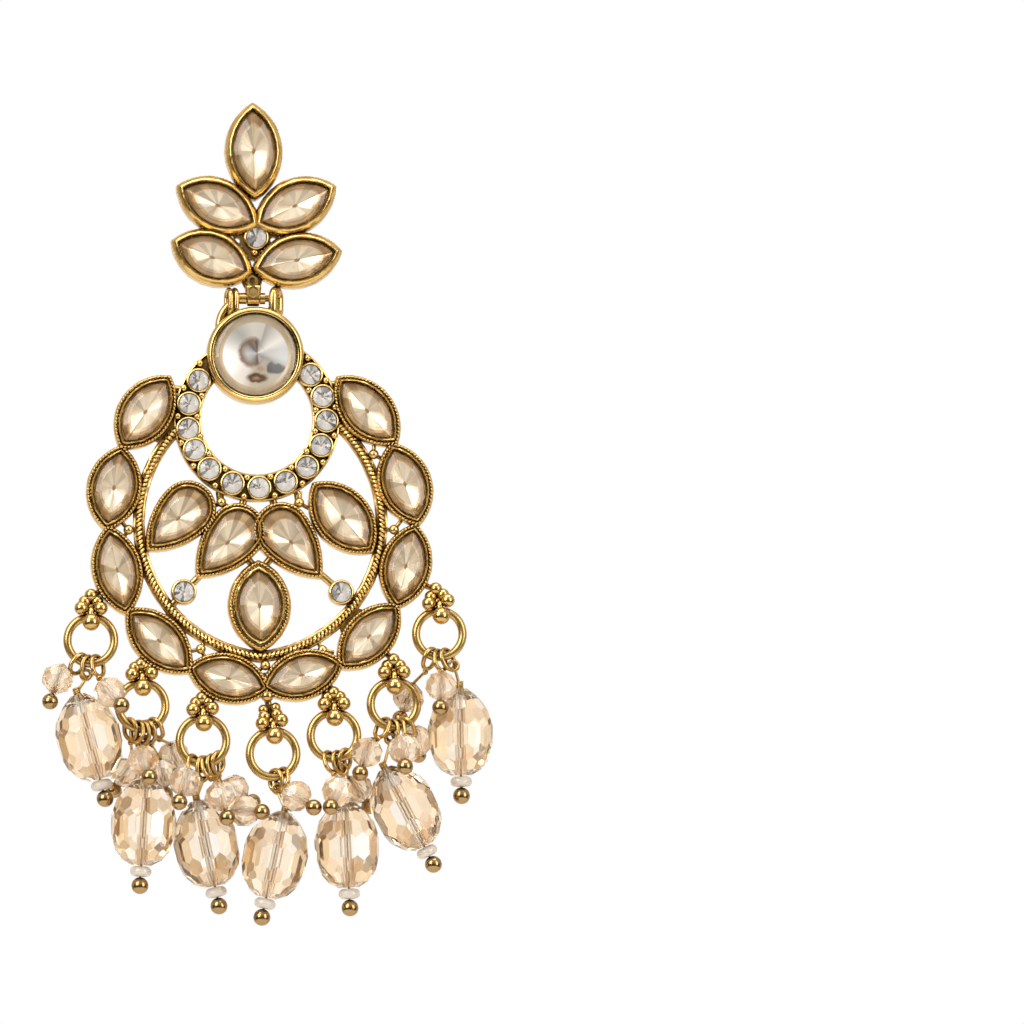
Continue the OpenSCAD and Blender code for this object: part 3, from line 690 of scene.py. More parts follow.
BRIGHT_GOLD = (0.76, 0.52, 0.185)
WIRE_GOLD = (0.62, 0.41, 0.142)
BRONZE_GOLD = (0.42, 0.275, 0.12)
# Dark brown of the patina, also used as painted shade in recesses and between parts
PATINA_AND_SHADE = (0.15, 0.078, 0.022)
cast_gold = antique_gold("cast_antique_gold", BRIGHT_GOLD, PATINA_AND_SHADE, rough=0.18, grain=0.014)
cluster_gold = antique_gold("bronze_cluster_gold", WIRE_GOLD, PATINA_AND_SHADE, rough=0.14, patina=0.4, grain=0.002)
ring_gold = antique_gold("satin_ring_gold", WIRE_GOLD, PATINA_AND_SHADE, rough=0.26, patina=0.0, grain=0.0, uneven=0.06)
bead_gold = antique_gold("bronze_ball_gold", BRONZE_GOLD, PATINA_AND_SHADE, rough=0.16, patina=0.0, grain=0.001,
    uneven=0.06)
crown_glass = clear_glass("stone_crown", [(0, (0.99, 0.97, 0.95))], ior=1.45)
band_glass = clear_glass("stone_edge_facets", [(0.0, (0.5, 0.36, 0.21)), (0.3, (0.74, 0.6, 0.43)),
    (0.7, (0.93, 0.84, 0.7)), (1.0, (1.0, 0.98, 0.94))], ior=1.45)
# Peach foil coloured with a painted highlight line and painted shade towards the girdle
peach_foil_painted_light_and_shade = foil("peach_foil_painted_light_and_shade", peach_with_painted_light_and_shade, 0.22, 0.5, [(0.0, 0.62), (0.4, 0.84), (1.0, 0.97)])
# Silver cone foil coloured with painted reflections
cone_foil = foil("silver_cone_painted_reflections", painted_cone_reflections, 0.3, 0.75, [(0, 1.0)])
crystal_glass = clear_glass("crystal_crown", [(0, (1.0, 1.0, 1.0))], ior=1.5, veil=0.1)
bright_foil = foil("bright_foil", plain_tone(1.0, 0.98, 0.95), 0.2, 0.8,
    [(0.0, 0.08), (0.24, 0.35), (0.36, 1.0), (1.0, 1.0)])
champagne = clear_glass("champagne_glass", [(0.0, (0.45, 0.24, 0.09)), (0.12, (0.76, 0.51, 0.28)),
    (0.3, (0.92, 0.71, 0.47)), (0.65, (0.98, 0.83, 0.64)), (0.9, (1.0, 0.96, 0.9))], ior=1.4, lustre=0.3,
    veil=0.06)
frosted = clear_glass("frosted_bore", [(0, (1.0, 0.94, 0.86))], ior=1.35, rough=0.25, veil=0.2)
pearl_glass = clear_glass("pearl_champagne_glass", [(0.0, (0.74, 0.49, 0.28)), (0.3, (0.95, 0.76, 0.53)),
    (0.8, (1.0, 0.9, 0.76))], ior=1.36, rough=0.02, lustre=0.8, veil=0.22)
culet_dark = foil("culet_shadow", plain_tone(0.42, 0.27, 0.12), 0.3, 0.4, [(0, 1.0)])
PEACH_STONE = [crown_glass, band_glass, peach_foil_painted_light_and_shade, culet_dark]
CONE_STONE = [crown_glass, crown_glass, cone_foil, cone_foil]
CRYSTAL = [crystal_glass, crystal_glass, bright_foil, culet_dark]
seed_white = pearl("white_seed", (0.66, 0.59, 0.5))


# Pieces

def piece(name, bm, materials, body, replaces, sharp=38):
    """Turns a finished shape into a piece of the earring"""
    bm.transform(TO_FRAME)
    mesh = bpy.data.meshes.new(name)
    bm.to_mesh(mesh)
    bm.free()
    for material in materials:
        mesh.materials.append(material)
    mesh.set_sharp_from_angle(angle=radians(sharp))
    made = bpy.data.objects.new(name, mesh)
    bpy.context.scene.collection.objects.link(made)
    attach(made, body)
    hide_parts(*replaces)
    return made


def metal(name, bm, body, replaces, material=None, sharp=38):
    """A metal piece: doubles merged, faces outwards, smooth but for its sharp edges"""
    bmesh.ops.remove_doubles(bm, verts=bm.verts, dist=0.0005)
    bmesh.ops.recalc_face_normals(bm, faces=bm.faces)
    for f in bm.faces:
        f.smooth = True
    return piece(name, bm, [material or cast_gold], body, replaces, sharp)


# Settings

BACK_PANEL = [(-1.1, 0.26), (-0.24, 0.26), (-0.12, 0.06), (0, 0)]
POCKET = [(0.14, 1.6), (0.14, PLATE_T), (-0.5, PLATE_T)]
LEAF_LIP = [(0.6, 0), (0.8, 0.1), (0.85, 0.35), (0.82, 1.1), (0.77, 1.7), (0.7, 2.0), (0.58, 2.22),
    (0.44, 2.38), (0.34, 2.48), (0.27, 2.5), (0.2, 2.42), (0.16, 2.3), (0.14, 2.1)]
RIM_LIP = [(0.66, 0), (0.82, 0.1), (0.85, 0.35), (0.84, 1.3), (0.8, 1.66), (0.72, 1.86), (0.6, 1.95),
    (0.44, 1.92), (0.39, 1.95), (0.36, 2.2), (0.31, 2.4), (0.24, 2.46), (0.17, 2.38), (0.14, 2.1)]
MILGRAIN_PITCH = 0.36
MILGRAIN_R = 0.19
MILGRAIN_LEAN = 0.6
MILGRAIN_AT = (0.6, 2.03)
LEAF_GRAIN_AT = (0.66, 1.74)
WEAR = 0.045


def grain_shape():
    bm = bmesh.new()
    bmesh.ops.create_icosphere(bm, subdivisions=2, radius=MILGRAIN_R)
    return as_mesh(bm)


def milgrain(bm, outline, grain, at, pitch=MILGRAIN_PITCH):
    """A row of grains along an outline, each a little unlike the next"""
    chance = Random(7)
    for spot, angle in even_spots(lambda s: outline(s, at[0]), pitch):
        size = Matrix.Diagonal((chance.uniform(0.9, 1.15), chance.uniform(0.55, 0.7), 0.8, 1))
        turn = Matrix.Rotation(angle + MILGRAIN_LEAN, 4, "Z")
        stamp(bm, grain, Matrix.Translation(lifted(spot, at[1])) @ turn @ size)


def setting(outline, lip, grain, at, count=110):
    """A cast setting for one stone, with its own back, wall, lip and pocket, and grains on its edge"""
    bm = bmesh.new()
    skin(bm, count, grown(outline, BACK_PANEL + lip + POCKET))
    milgrain(bm, outline, grain, at)
    return as_mesh(bm)


def worn(bm, most=WEAR):
    """Moves the surface a little this way and that, as hand-finished casting is uneven"""
    for v in bm.verts:
        v.co += noise_vector(v.co * 2.2) * most


def settings_piece(name, rows, lip, grain, at, body, replaces):
    bm = bmesh.new()
    for outline, place, lean in rows:
        stamp(bm, setting(outline, lip, grain, at), set_at(place, lean))
    worn(bm)
    return metal(name, bm, body, replaces)


def leaf_outline(row):
    return pointed_oval(row[3] * LEAF_STONE[0], row[4] * LEAF_STONE[1])


def rim_outline(row):
    return pointed_oval(row[3] * RIM_STONE[0], row[4] * RIM_STONE[1])


def petal_outline(row):
    shape = pointed_oval if row[5] else pear
    outline = shape(row[3] * PETAL_STONE[0], row[4] * PETAL_STONE[1])
    return lambda share, grow=0: outline(share, grow * row[6])


# Stones: rows of share of full size and depth, for the crown and for the foiled back. The last
# row of the crown is the rim of its table, and of the back a small flat culet
CROWN = [(0.975, GIRDLE - 0.06), (0.99, GIRDLE), (0.965, 2.08), (0.64, 2.38)]
PAVILION = [(0.975, GIRDLE - 0.06), (0.09, STONE_BACK)]
ROUND_CROWN = [(0.985, 2.12), (1, 2.17), (0.985, 2.22), (0.86, 2.33), (0.6, 2.42), (0.3, 2.48), (0.1, 2.5)]
ROUND_PAVILION = [(0.985, 2.12), (0.86, 2.0), (0.02, STONE_BACK)]
CRYSTAL_CROWN = [(0.97, 1.7), (1, 1.75), (0.99, 1.79), (0.6, 1.96)]
CRYSTAL_PAVILION = [(0.97, 1.7), (0.42, 1.4), (0.13, 1.26)]


def stone(outline, crown, pavilion, count, smooth_crown=False, smooth_back=True):
    """A cut stone as one closed shape, its crown clear and its back foiled"""
    bm = bmesh.new()
    skin(bm, count, shrunk(outline, crown), cap_first=False)
    crown_faces = set(bm.faces)
    skin(bm, count, shrunk(outline, pavilion), cap_first=False)
    for f in bm.faces:
        crown_side = f in crown_faces
        small = len(f.verts) < count
        f.smooth = smooth_crown if crown_side else smooth_back
        f.material_index = (1 if small else 0) if crown_side else (2 if small else 3)
    bmesh.ops.remove_doubles(bm, verts=bm.verts, dist=0.0005)
    bmesh.ops.recalc_face_normals(bm, faces=bm.faces)
    return as_mesh(bm)


def facets(bm, seed):
    """Gives every face a chance value, by turns low and high, that glass and foil read as its tone"""
    layer = bm.faces.layers.float.new("facet")
    chance = Random(seed)
    bm.faces.index_update()
    for f in bm.faces:
        f[layer] = (chance.random() + f.index % 2) / 2


def stone_piece(name, shape, places, glass, body, replaces, sharp=12):
    bm = bmesh.new()
    stamp(bm, shape, *places)
    facets(bm, len(name))
    return piece(name, bm, glass, body, replaces, sharp)


def stones():
    for i, row in enumerate(LEAVES, 1):
        stone_piece(f"leaf_stone_{i}", stone(leaf_outline(row), CROWN, PAVILION, 20),
            [set_at(leaf_place(row), row[2])], PEACH_STONE, "stud",
            [f"stud_stone_{i}"])
    for i, row in enumerate(RIMS, 1):
        stone_piece(f"rim_navette_{i:02}", stone(rim_outline(row), CROWN, PAVILION, 20),
            [set_at(rim_place(row), rim_lean(row))], PEACH_STONE, "drop",
            [f"rim_stone_{i:02}"])
    for i, row in enumerate(PETALS, 1):
        stone_piece(f"petal_pear_{i}", stone(petal_outline(row), CROWN, PAVILION, 20),
            [set_at(ring_share(row), row[2])], PEACH_STONE, "drop",
            [f"petal_stone_{i}"])
    stone_piece("round_cone_stone",
        stone(disc(ROUND_R), ROUND_CROWN, ROUND_PAVILION, 96, smooth_crown=True),
        [set_at(ROUND_AT)], CONE_STONE, "drop", ["round_stone"], sharp=30)
    crystal = stone(disc(CHATON_R), CRYSTAL_CROWN, CRYSTAL_PAVILION, 16, smooth_back=False)
    fields = [
        ("stud_crystal", [STUD_HUB], "stud", "stud_chaton"),
        ("crescent_crystals", [chaton_place(a) for a in CHATON_ANGLES], "drop", "crescent_chatons"),
        ("side_crystals", [ring_share(row) for row in SIDE_CHATONS], "drop", "side_chatons")]
    for name, places, body, stood_for in fields:
        stone_piece(name, crystal, [set_at(p, 11 * k) for k, p in enumerate(places)], CRYSTAL, body,
            [stood_for], sharp=3)


# Stud metal

CUP_LIP = [(0.1, 0.15), (0.3, 0.2), (0.31, 0.6), (0.29, 1.4), (0.25, 1.78), (0.18, 1.93), (0.1, 1.97),
    (0.05, 1.92), (0.04, 1.7), (0.04, 1.22), (-0.3, 1.22)]


def cup_shape():
    bm = bmesh.new()
    skin(bm, 40, grown(disc(CHATON_R), CUP_LIP))
    return as_mesh(bm)


def plate(bm, loops, low, high):
    """A flat plate from loops of spots, the first its edge and the others its holes"""
    edges = []
    for spots in loops:
        made = bmesh.ops.create_circle(bm, segments=len(spots), radius=1)["verts"]
        for v, spot in zip(made, spots):
            v.co = lifted(spot, low)
        edges += {e for v in made for e in v.link_edges}
    faces = [g for g in bmesh.ops.triangle_fill(bm, edges=edges, use_beauty=True, use_dissolve=False)["geom"]
        if isinstance(g, bmesh.types.BMFace)]
    risen = bmesh.ops.extrude_face_region(bm, geom=faces, use_keep_orig=True)["geom"]
    bmesh.ops.translate(bm, verts=[g for g in risen if is_vert(g)], vec=(0, 0, high - low))


def circle_spots(middle, r, count):
    return [middle + polar(360 * i / count, r) for i in range(count)]


def stud_hub():
    bm = bmesh.new()
    holes = [circle_spots(STUD_HUB + Vector(h), HOLE_R, 16) for h in STUD_HOLES[1:]]
    plate(bm, [circle_spots(STUD_HUB, HUB_R, 48), *holes], 0.15, 1.15)
    stamp(bm, cup_shape(), set_at(STUD_HUB))
    ball(bm, lifted((-0.05, -4.2), 1.5), 0.72)
    foot = bmesh.new()
    skin(foot, 40, grown(disc(NUB_R), [(0.3, 0.1), (0.38, 0.25), (0.38, 1.0), (0.2, 1.2)]))
    skin(foot, 6, grown(disc(NUB_R), [(0.08, 1.0), (0.06, 1.7), (-0.06, 1.88), (-0.28, 1.9), (-0.38, 1.5)]))
    stamp(bm, as_mesh(foot), set_at(NUB_AT))
    tongue(bm)
    rod(bm, HINGE_AT + Vector((LOOPS[0][0] - BAR_END, 0, 0)), HINGE_AT + Vector((LOOPS[1][0] + BAR_END, 0, 0)),
        BAR_D, sides=20)
    for low, high in SLEEVES:
        rod(bm, HINGE_AT + Vector((low, 0, 0)), HINGE_AT + Vector((high, 0, 0)), SLEEVE_D, sides=24)
    return metal("stud_hub_and_tongue", bm, "stud", ["stud_frame"])


TONGUE_RISE = 0.78
PUNCH_MARK = [(-0.1, 1.5), (-0.12, 1.9), (-0.2, 2.02), (-0.38, 2.0), (-0.5, 1.6), (-0.6, 1.0)]


def tongue(bm):
    """The strap from the stud round the hinge bar, with rounded edges and a deep punch mark"""
    def side(x, inset):
        def spot(share):
            a = 2 * pi * share
            r = TONGUE_R - inset
            upper = sin(a) > 0
            return Vector((TONGUE_X + x * (1 if upper else 0.82),
                HINGE_AT.y + r * sin(a) + (TONGUE_RISE if upper else 0), HINGE_AT.z + r * cos(a)))
        return spot
    half = TONGUE_W / 2
    skin(bm, 36, [side(-half, 0.2), side(0.04 - half, 0.09), side(0.14 - half, 0), side(half - 0.14, 0),
        side(half - 0.04, 0.09), side(half, 0.2)])
    mark = bmesh.new()
    skin(mark, 6, grown(disc(TONGUE_W / 2), PUNCH_MARK))
    stamp(bm, as_mesh(mark), set_at((TONGUE_X, HINGE_AT.y + TONGUE_RISE * 0.75)))


# Drop metal

def swept(bm, middle, turn, profile, count):
    """A closed profile of radius and depth, swept about a middle through part of a turn"""
    made = bmesh.ops.create_circle(bm, segments=len(profile), radius=1)["verts"]
    for v, (r, z) in zip(made, profile):
        v.co = lifted(middle + polar(turn[0], r), z)
    edges = list({e for v in made for e in v.link_edges})
    bmesh.ops.contextual_create(bm, geom=edges)
    end = bmesh.ops.spin(bm, geom=made + edges, cent=lifted(middle, 0), axis=(0, 0, 1),
        angle=radians(turn[1] - turn[0]), steps=count)["geom_last"]
    bmesh.ops.contextual_create(bm, geom=[g for g in end if is_edge(g)])


CRESCENT_BAND = [(-1.3, 0), (-1.37, 0.12), (-1.37, 1.3), (-1.32, 1.46), (-1.2, 1.5), (-1.08, 1.4),
    (-1.0, 1.2), (1.0, 1.2), (1.08, 1.4), (1.2, 1.5), (1.32, 1.46), (1.37, 1.3), (1.37, 0.12), (1.3, 0)]
GRANULE_R = 0.36
GRANULE_OFF = 0.96


def crescent():
    bm = bmesh.new()
    swept(bm, CRESCENT_AT, CRESCENT_TURN, [(CRESCENT_R + r, z) for r, z in CRESCENT_BAND], 110)
    cup = cup_shape()
    stamp(bm, cup, *[set_at(chaton_place(a)) for a in CHATON_ANGLES])
    stamp(bm, cup, *[set_at(ring_share(row)) for row in SIDE_CHATONS])
    between = [(a + b) / 2 for a, b in zip(CHATON_ANGLES, CHATON_ANGLES[1:])]
    for angle in [CHATON_ANGLES[0] - 11, *between, CHATON_ANGLES[-1] + 11]:
        for off in (-GRANULE_OFF, GRANULE_OFF):
            ball(bm, lifted(CRESCENT_AT + polar(angle, CRESCENT_R + off), 1.55), GRANULE_R * 2, (16, 10))
    return metal("crescent_band", bm, "drop", ["drop_frame"])


BEZEL = [(0.2, 0), (0.76, 0), (0.83, 0.12), (0.85, 0.4), (0.84, 1.5), (0.78, 2.05), (0.68, 2.36), (0.56, 2.5),
    (0.45, 2.54), (0.37, 2.48), (0.34, 2.36), (0.33, 2.42), (0.27, 2.5), (0.2, 2.46), (0.16, 2.3),
    (0.14, 2.1), (0.13, 1.24), (-0.5, 1.22)]


def round_bezel():
    bm = bmesh.new()
    skin(bm, 120, grown(disc(ROUND_R), BEZEL))
    bmesh.ops.translate(bm, verts=bm.verts, vec=lifted(ROUND_AT, 0))
    return metal("round_bezel", bm, "drop", ["drop_frame"])


TWIST_R = 0.2
STRAND_D = 0.4
TWIST_PITCH = 0.9
ROPE_Z = 1.3
ROPE_FROM = -84.6
ROPE_TO = 52


def rope_shape(length):
    """Two strands twisted along the x axis, as whole turns that fill the length"""
    count = round(length / TWIST_PITCH)
    pitch = length / count
    bm = bmesh.new()
    for half in (0, pi):
        turn = Matrix.Rotation(half, 4, "X")
        made = bmesh.ops.create_circle(bm, segments=7, radius=STRAND_D / 2,
            matrix=turn @ Matrix.Translation((0, 0, TWIST_R)) @ Matrix.Rotation(pi / 2, 4, "X"))["verts"]
        edges = list({e for v in made for e in v.link_edges})
        bmesh.ops.spin(bm, geom=made + edges, cent=(0, 0, 0), axis=(1, 0, 0), angle=2 * pi,
            dvec=(pitch / 12, 0, 0), steps=12)
    turn = as_mesh(bm)
    whole = bmesh.new()
    stamp(whole, turn, *[Matrix.Translation((k * pitch, 0, 0)) for k in range(count)])
    bmesh.ops.remove_doubles(whole, verts=whole.verts, dist=0.001)
    bmesh.ops.holes_fill(whole, edges=[e for e in whole.edges if e.is_boundary])
    return whole


ROPE_FOOT = [(-0.5, 0), (-0.6, 0.12), (-0.6, 0.86), (-0.52, 1.08), (-0.36, 1.16), (0.36, 1.16), (0.52, 1.08),
    (0.6, 0.86), (0.6, 0.12), (0.5, 0)]


def rope_ring():
    """A twisted pair of wires on a flat foot, round each side of the ring"""
    bm = bmesh.new()
    for side in (-1, 1):
        middle = rope_middle(side)
        turn = (ROPE_FROM, ROPE_TO) if side > 0 else (180 - ROPE_FROM, 180 - ROPE_TO)
        swept(bm, middle, turn, [(ROPE_R + r, z) for r, z in ROPE_FOOT], 100)
        arc = radians(turn[1] - turn[0])
        rope = rope_shape(abs(arc) * ROPE_R)
        length = abs(arc) * ROPE_R
        for v in rope.verts:
            a = radians(turn[0]) + arc * v.co.x / length
            r = ROPE_R + v.co.y
            v.co = Vector((middle.x + r * cos(a), middle.y + r * sin(a), ROPE_Z + v.co.z))
        stamp(bm, as_mesh(rope), Matrix())
    worn(bm)
    return metal("rope_ring", bm, "drop", ["drop_frame"])


def fillers_and_bridges():
    bm = bmesh.new()
    foot = bmesh.new()
    ball(foot, Vector((0, 0, 1.4)), FILLER_R * 2.1, (20, 12))
    for way in (0, 125, 235):
        rod(foot, Vector((0, 0, 0.9)), lifted(polar(way, FILLER_REACH), 0.8), 0.42, sides=10)
    foot = as_mesh(foot)
    for p in FILLERS:
        inward = ROPE_AT - Vector(p)
        stamp(bm, foot, set_at(p, -atan2(inward.y, inward.x) * 180 / pi))
    for row in RIMS:
        web = bmesh.new()
        skin(web, 32, grown(disc(WEB_R), [(-0.1, 0.15), (0, 0.25), (0, 0.9), (-0.15, 1.05)]))
        stamp(bm, as_mesh(web), set_at(rope_place(row, WEB_OFF)))
    for p, q in BRIDGES:
        rod(bm, lifted(p, 0.7), lifted(q, 0.7), BRIDGE_W * 1.2, sides=12)
    return metal("fillers_and_bridges", bm, "drop", ["drop_frame"])


def hangers():
    """Ball clusters over the loops that the jump rings hang in"""
    bm = bmesh.new()
    loop = torus(HANGER_R, LOOP_WIRE, 32, 12)
    for i, (side, _, _, lean, tall) in enumerate(HANGERS):
        top = lifted(ring_top(i), HANG_Z)
        tilt = Matrix.Translation(top) @ Matrix.Rotation(-radians(lean), 4, "Z")
        crown = tilt @ Vector((0, tall, 0))
        stamp(bm, loop, facing(top, Vector((1, 0, 0))))
        ball(bm, tilt @ Vector((0, -0.6, HANGER_R + 0.46)), FRONT_BALL_D, (32, 18))
        for way in (-1, 1):
            ball(bm, tilt @ Vector((way * 0.96, 0.84, 0.7)), CLUSTER_D * 1.02)
            ball(bm, tilt @ Vector((way * 0.62, 1.5, 0.3)), CLUSTER_D * 0.92)
            if tall > 3:
                ball(bm, tilt @ Vector((way * 0.62, 2.2, 0.3)), CLUSTER_D * 0.75)
        ball(bm, tilt @ Vector((0, 0.9, 0.2)), CLUSTER_D * 0.7)
        rod(bm, tilt @ Vector((0, HANGER_R - 0.05, -0.2)), crown - Vector((0, 0, 0.2)), 0.7)
        ball(bm, crown + Vector((0, 0, 0.4)), CLUSTER_D * 0.95)
        inward = (rope_middle(side) - crown.xy).normalized()
        rod(bm, crown, crown + Vector((inward.x * 2.3, inward.y * 2.3, -0.6)), 0.62)
    return metal("ball_hangers", bm, "drop", ["drop_frame"], cluster_gold)


def hanging_loops():
    """The loops on the hinge bar, one of them a doubled strand, and the arch behind the bezel"""
    bm = bmesh.new()
    for (x, turn), strands in zip(LOOPS, ((-0.3, 0.3), (0,))):
        way = Matrix.Rotation(radians(turn), 3, "Y") @ Vector((1, 0, 0))
        wire = LOOP_WIRE * (0.72 if len(strands) == 2 else 1.22)
        loop = stretched(torus(LOOP_R, wire, 48, 16), LOOP_FALL)
        turned = Matrix.Rotation(radians(turn), 4, "Y") @ Matrix.Rotation(pi / 2, 4, "Y")
        for off in strands:
            stamp(bm, loop, Matrix.Translation(HINGE_AT + Vector((x, 0, 0)) + way * off) @ turned)
    for start, end in ARCHES:
        arch = bmesh.new()
        spun(arch, ARCH_R, ARCH_WIRE, turn=end - start, count=24, sides=16)
        stamp(bm, as_mesh(arch), Matrix.Translation(ARCH_AT) @ Matrix.Rotation(radians(start), 4, "Z"))
    return metal("hanging_loops", bm, "drop", ["drop_frame"])


# Hanging pieces

OVAL_R = 0.86
OVAL_WIRE = 0.45
OVAL_FALL = 0.4
OVAL_TURN = 42
OVAL_REACH = 1.6
GATHERED = 0.75


def jump_rings():
    ring = torus(RING_R, RING_WIRE, 96, 18)
    for i in range(len(HANGERS)):
        bm = bmesh.new()
        stamp(bm, ring, Matrix.Translation(lifted(ring_middle(i), HANG_Z)))
        metal(f"ring_{i + 1}", bm, "drop", [f"jump_ring_{i + 1}"], ring_gold)


def oval_link():
    return stretched(torus(OVAL_R, OVAL_WIRE, 40, 12), OVAL_FALL)


def hung_on(i, angle, way):
    """Hangs an oval link on a ring's wire, lying along a way and turned to show its opening"""
    swing = Vector((0, -1, 0)).rotation_difference(way).to_matrix().to_4x4()
    turn = Matrix.Rotation(radians(OVAL_TURN if i % 2 else -OVAL_TURN) + pi / 2, 4, "Y")
    drop = Matrix.Translation((0, OVAL_R - OVAL_WIRE / 2 - RING_WIRE / 2 - 0.06, 0))
    return Matrix.Translation(wire_place(i, angle)) @ swing @ turn @ drop.inverted()


def wire_links():
    bm = bmesh.new()
    link = oval_link()
    for i, row in enumerate(DROPS):
        stamp(bm, link, hung_on(i, row[0] * GATHERED, down_at(row[0])))
    metal("wire_links", bm, "drop", ["small_links"], ring_gold)


def wrap(bm, place, way, r, turns, wire):
    """Turns of wire round a neck, starting at a place and going along a way"""
    coil = bmesh.new()
    spun(coil, r, wire, turn=360 * turns, count=16 * turns, sides=8, rise=wire * 1.02 * turns)
    stamp(bm, as_mesh(coil), facing(place, way))


def head_pins():
    eye = torus(PIN_EYE_R, PIN_WIRE, 32, 10)
    for i, row in enumerate(DROPS):
        bm = bmesh.new()
        at, way, out = eye_place(i), look(row[4], 0), down_at(row[0])
        top = bead_place(i) - way * (BEAD_H / 2 + 0.25)
        foot = bead_place(i) + way * (BEAD_H / 2 + SEED_H + 2 * SEED_CLEAR + BALL_D / 2 - 0.05)
        stamp(bm, eye, Matrix.Translation(at))
        rod(bm, at + out * PIN_EYE_R, top, PIN_WIRE * 0.9)
        rod(bm, top, foot, PIN_WIRE * 0.65)
        wrap(bm, top - way * 0.45, way, 0.3, 4, 0.2)
        metal(f"head_pin_{i + 1}", bm, "drop", [f"drop_pin_{i + 1}"], ring_gold)
        head = bmesh.new()
        ball(head, foot, BALL_D, (40, 24))
        metal(f"head_ball_{i + 1}", head, "drop", [f"drop_pin_{i + 1}"], bead_gold)


PIN_HEAD_D = 1.62


def small_pins():
    wires, heads = bmesh.new(), bmesh.new()
    link = oval_link()
    for row in SMALLS:
        angle = row[1] * GATHERED
        at = wire_place(row[0], angle)
        way = look(row[5], row[6])
        middle = small_place(row)
        top = middle - way * (SMALL_D * 0.45 + 0.1)
        foot = middle + way * (SMALL_D * 0.45 + BALL_D / 2 + 0.02)
        fall = (down_at(0) + (top - at).normalized()).normalized()
        start = at + fall * OVAL_REACH
        stamp(wires, link, hung_on(row[0], angle, fall))
        rod(wires, start, top, PIN_WIRE * 0.9)
        rod(wires, top, foot, PIN_WIRE * 0.8)
        wrap(wires, start, (top - start).normalized(), 0.22, 2, 0.17)
        ball(heads, foot, PIN_HEAD_D, (32, 20))
    metal("small_pin_wires", wires, "drop", ["small_pins"], ring_gold)
    metal("small_pin_heads", heads, "drop", ["small_pins"], bead_gold)


def seeds():
    bm = bmesh.new()
    seed = bmesh.new()
    spun(seed, SEED_D / 2 - SEED_H / 2, SEED_H * 0.98, count=40, sides=18)
    seed = as_mesh(seed)
    for i, row in enumerate(DROPS):
        way = look(row[4], 0)
        stamp(bm, seed, facing(bead_place(i) + way * (BEAD_H / 2 + SEED_H / 2 + SEED_CLEAR), way))
    metal("white_seeds", bm, "drop", ["seed_beads"], seed_white)


# Glass beads are cut as real ones are: each row is a ring of flat facets, given by its height and
# radius as shares of the bead, its slope in degrees and its turn in facet widths
BEAD_SIDES = 14
GLASS_W = 6.5
SMALL_GLASS_D = 3.16
BEAD_ROWS = [
    (-0.02, 0.482, -2, 0),
    (0.17, 0.455, 17, 0.5),
    (0.31, 0.367, 38, 0),
    (0.43, 0.23, 52, 0.5),
    (-0.21, 0.46, -17, 0.5),
    (-0.35, 0.388, -38, 0),
    (-0.45, 0.27, -60, 0.5)]
SMALL_SIDES = 8
SMALL_ROWS = [
    (0, 0.475, 0, 0),
    (0.24, 0.41, 30, 0.5),
    (0.4, 0.25, 56, 0),
    (-0.24, 0.41, -30, 0.5),
    (-0.4, 0.25, -56, 0)]


def cut_bead(height, width, rows, sides, bore):
    """A faceted glass bead about the y axis with its hole, cut from a blank by planes"""
    bm = bmesh.new()
    bmesh.ops.create_cone(bm, cap_ends=True, segments=sides * 2, radius1=width * 0.6,
        radius2=width * 0.6, depth=height)
    for level, reach, slope, turn in rows:
        for k in range(sides):
            a = 2 * pi * (k + turn) / sides
            out = Vector((cos(a), sin(a), 0))
            normal = out * cos(radians(slope)) + Vector((0, 0, sin(radians(slope))))
            cut = bmesh.ops.bisect_plane(bm, geom=bm.verts[:] + bm.edges[:] + bm.faces[:],
                plane_co=out * reach * width + Vector((0, 0, level * height)), plane_no=normal,
                dist=0.0001, clear_outer=True)["geom_cut"]
            edges = [g for g in cut if is_edge(g)]
            if len(edges) > 2:
                bmesh.ops.contextual_create(bm, geom=edges)
    bmesh.ops.remove_doubles(bm, verts=bm.verts, dist=0.004)
    bmesh.ops.recalc_face_normals(bm, faces=bm.faces)
    drill(bm, bore)
    bmesh.ops.rotate(bm, verts=bm.verts, matrix=Matrix.Rotation(-pi / 2, 3, "X"))
    return as_mesh(bm)


def drill(bm, bore):
    """Opens a round hole between a bead's two flat ends"""
    walls = []
    for end in (1, -1):
        face = max(bm.faces, key=lambda f: f.normal.z * end)
        bmesh.ops.inset_individual(bm, faces=[face], thickness=0.02)
        for v in face.verts:
            v.co.xy = v.co.xy.normalized() * bore
        walls += face.edges
        bmesh.ops.delete(bm, geom=[face], context="FACES_ONLY")
    for f in bmesh.ops.bridge_loops(bm, edges=walls)["faces"]:
        f.smooth = True
        f.material_index = 1


def beads():
    large = cut_bead(BEAD_H, GLASS_W, BEAD_ROWS, BEAD_SIDES, BORE_R)
    for i, row in enumerate(DROPS):
        bm = bmesh.new()
        stamp(bm, large, aimed(bead_place(i), look(row[4], 0), row[5]))
        facets(bm, i + 3)
        piece(f"large_bead_{i + 1}", bm, [champagne, frosted], "drop",
            [f"drop_bead_{i + 1}"], sharp=14)
    bm = bmesh.new()
    small = cut_bead(SMALL_D * 0.92, SMALL_GLASS_D, SMALL_ROWS, SMALL_SIDES, BORE_R)
    for k, row in enumerate(SMALLS):
        stamp(bm, small, aimed(small_place(row), look(row[5], row[6]), 17 * k))
    facets(bm, 1)
    piece("small_bead_field", bm, [pearl_glass, frosted], "drop", ["small_beads"],
        sharp=23.5)


# Stage

AIM = Vector((0.0257, -0.0025, -0.0302))
DISTANCE = 0.9
VIEW_WIDTH = 0.1024
AZIMUTH = -4
ELEVATION = -4.5
FLOOR_Z = -0.2


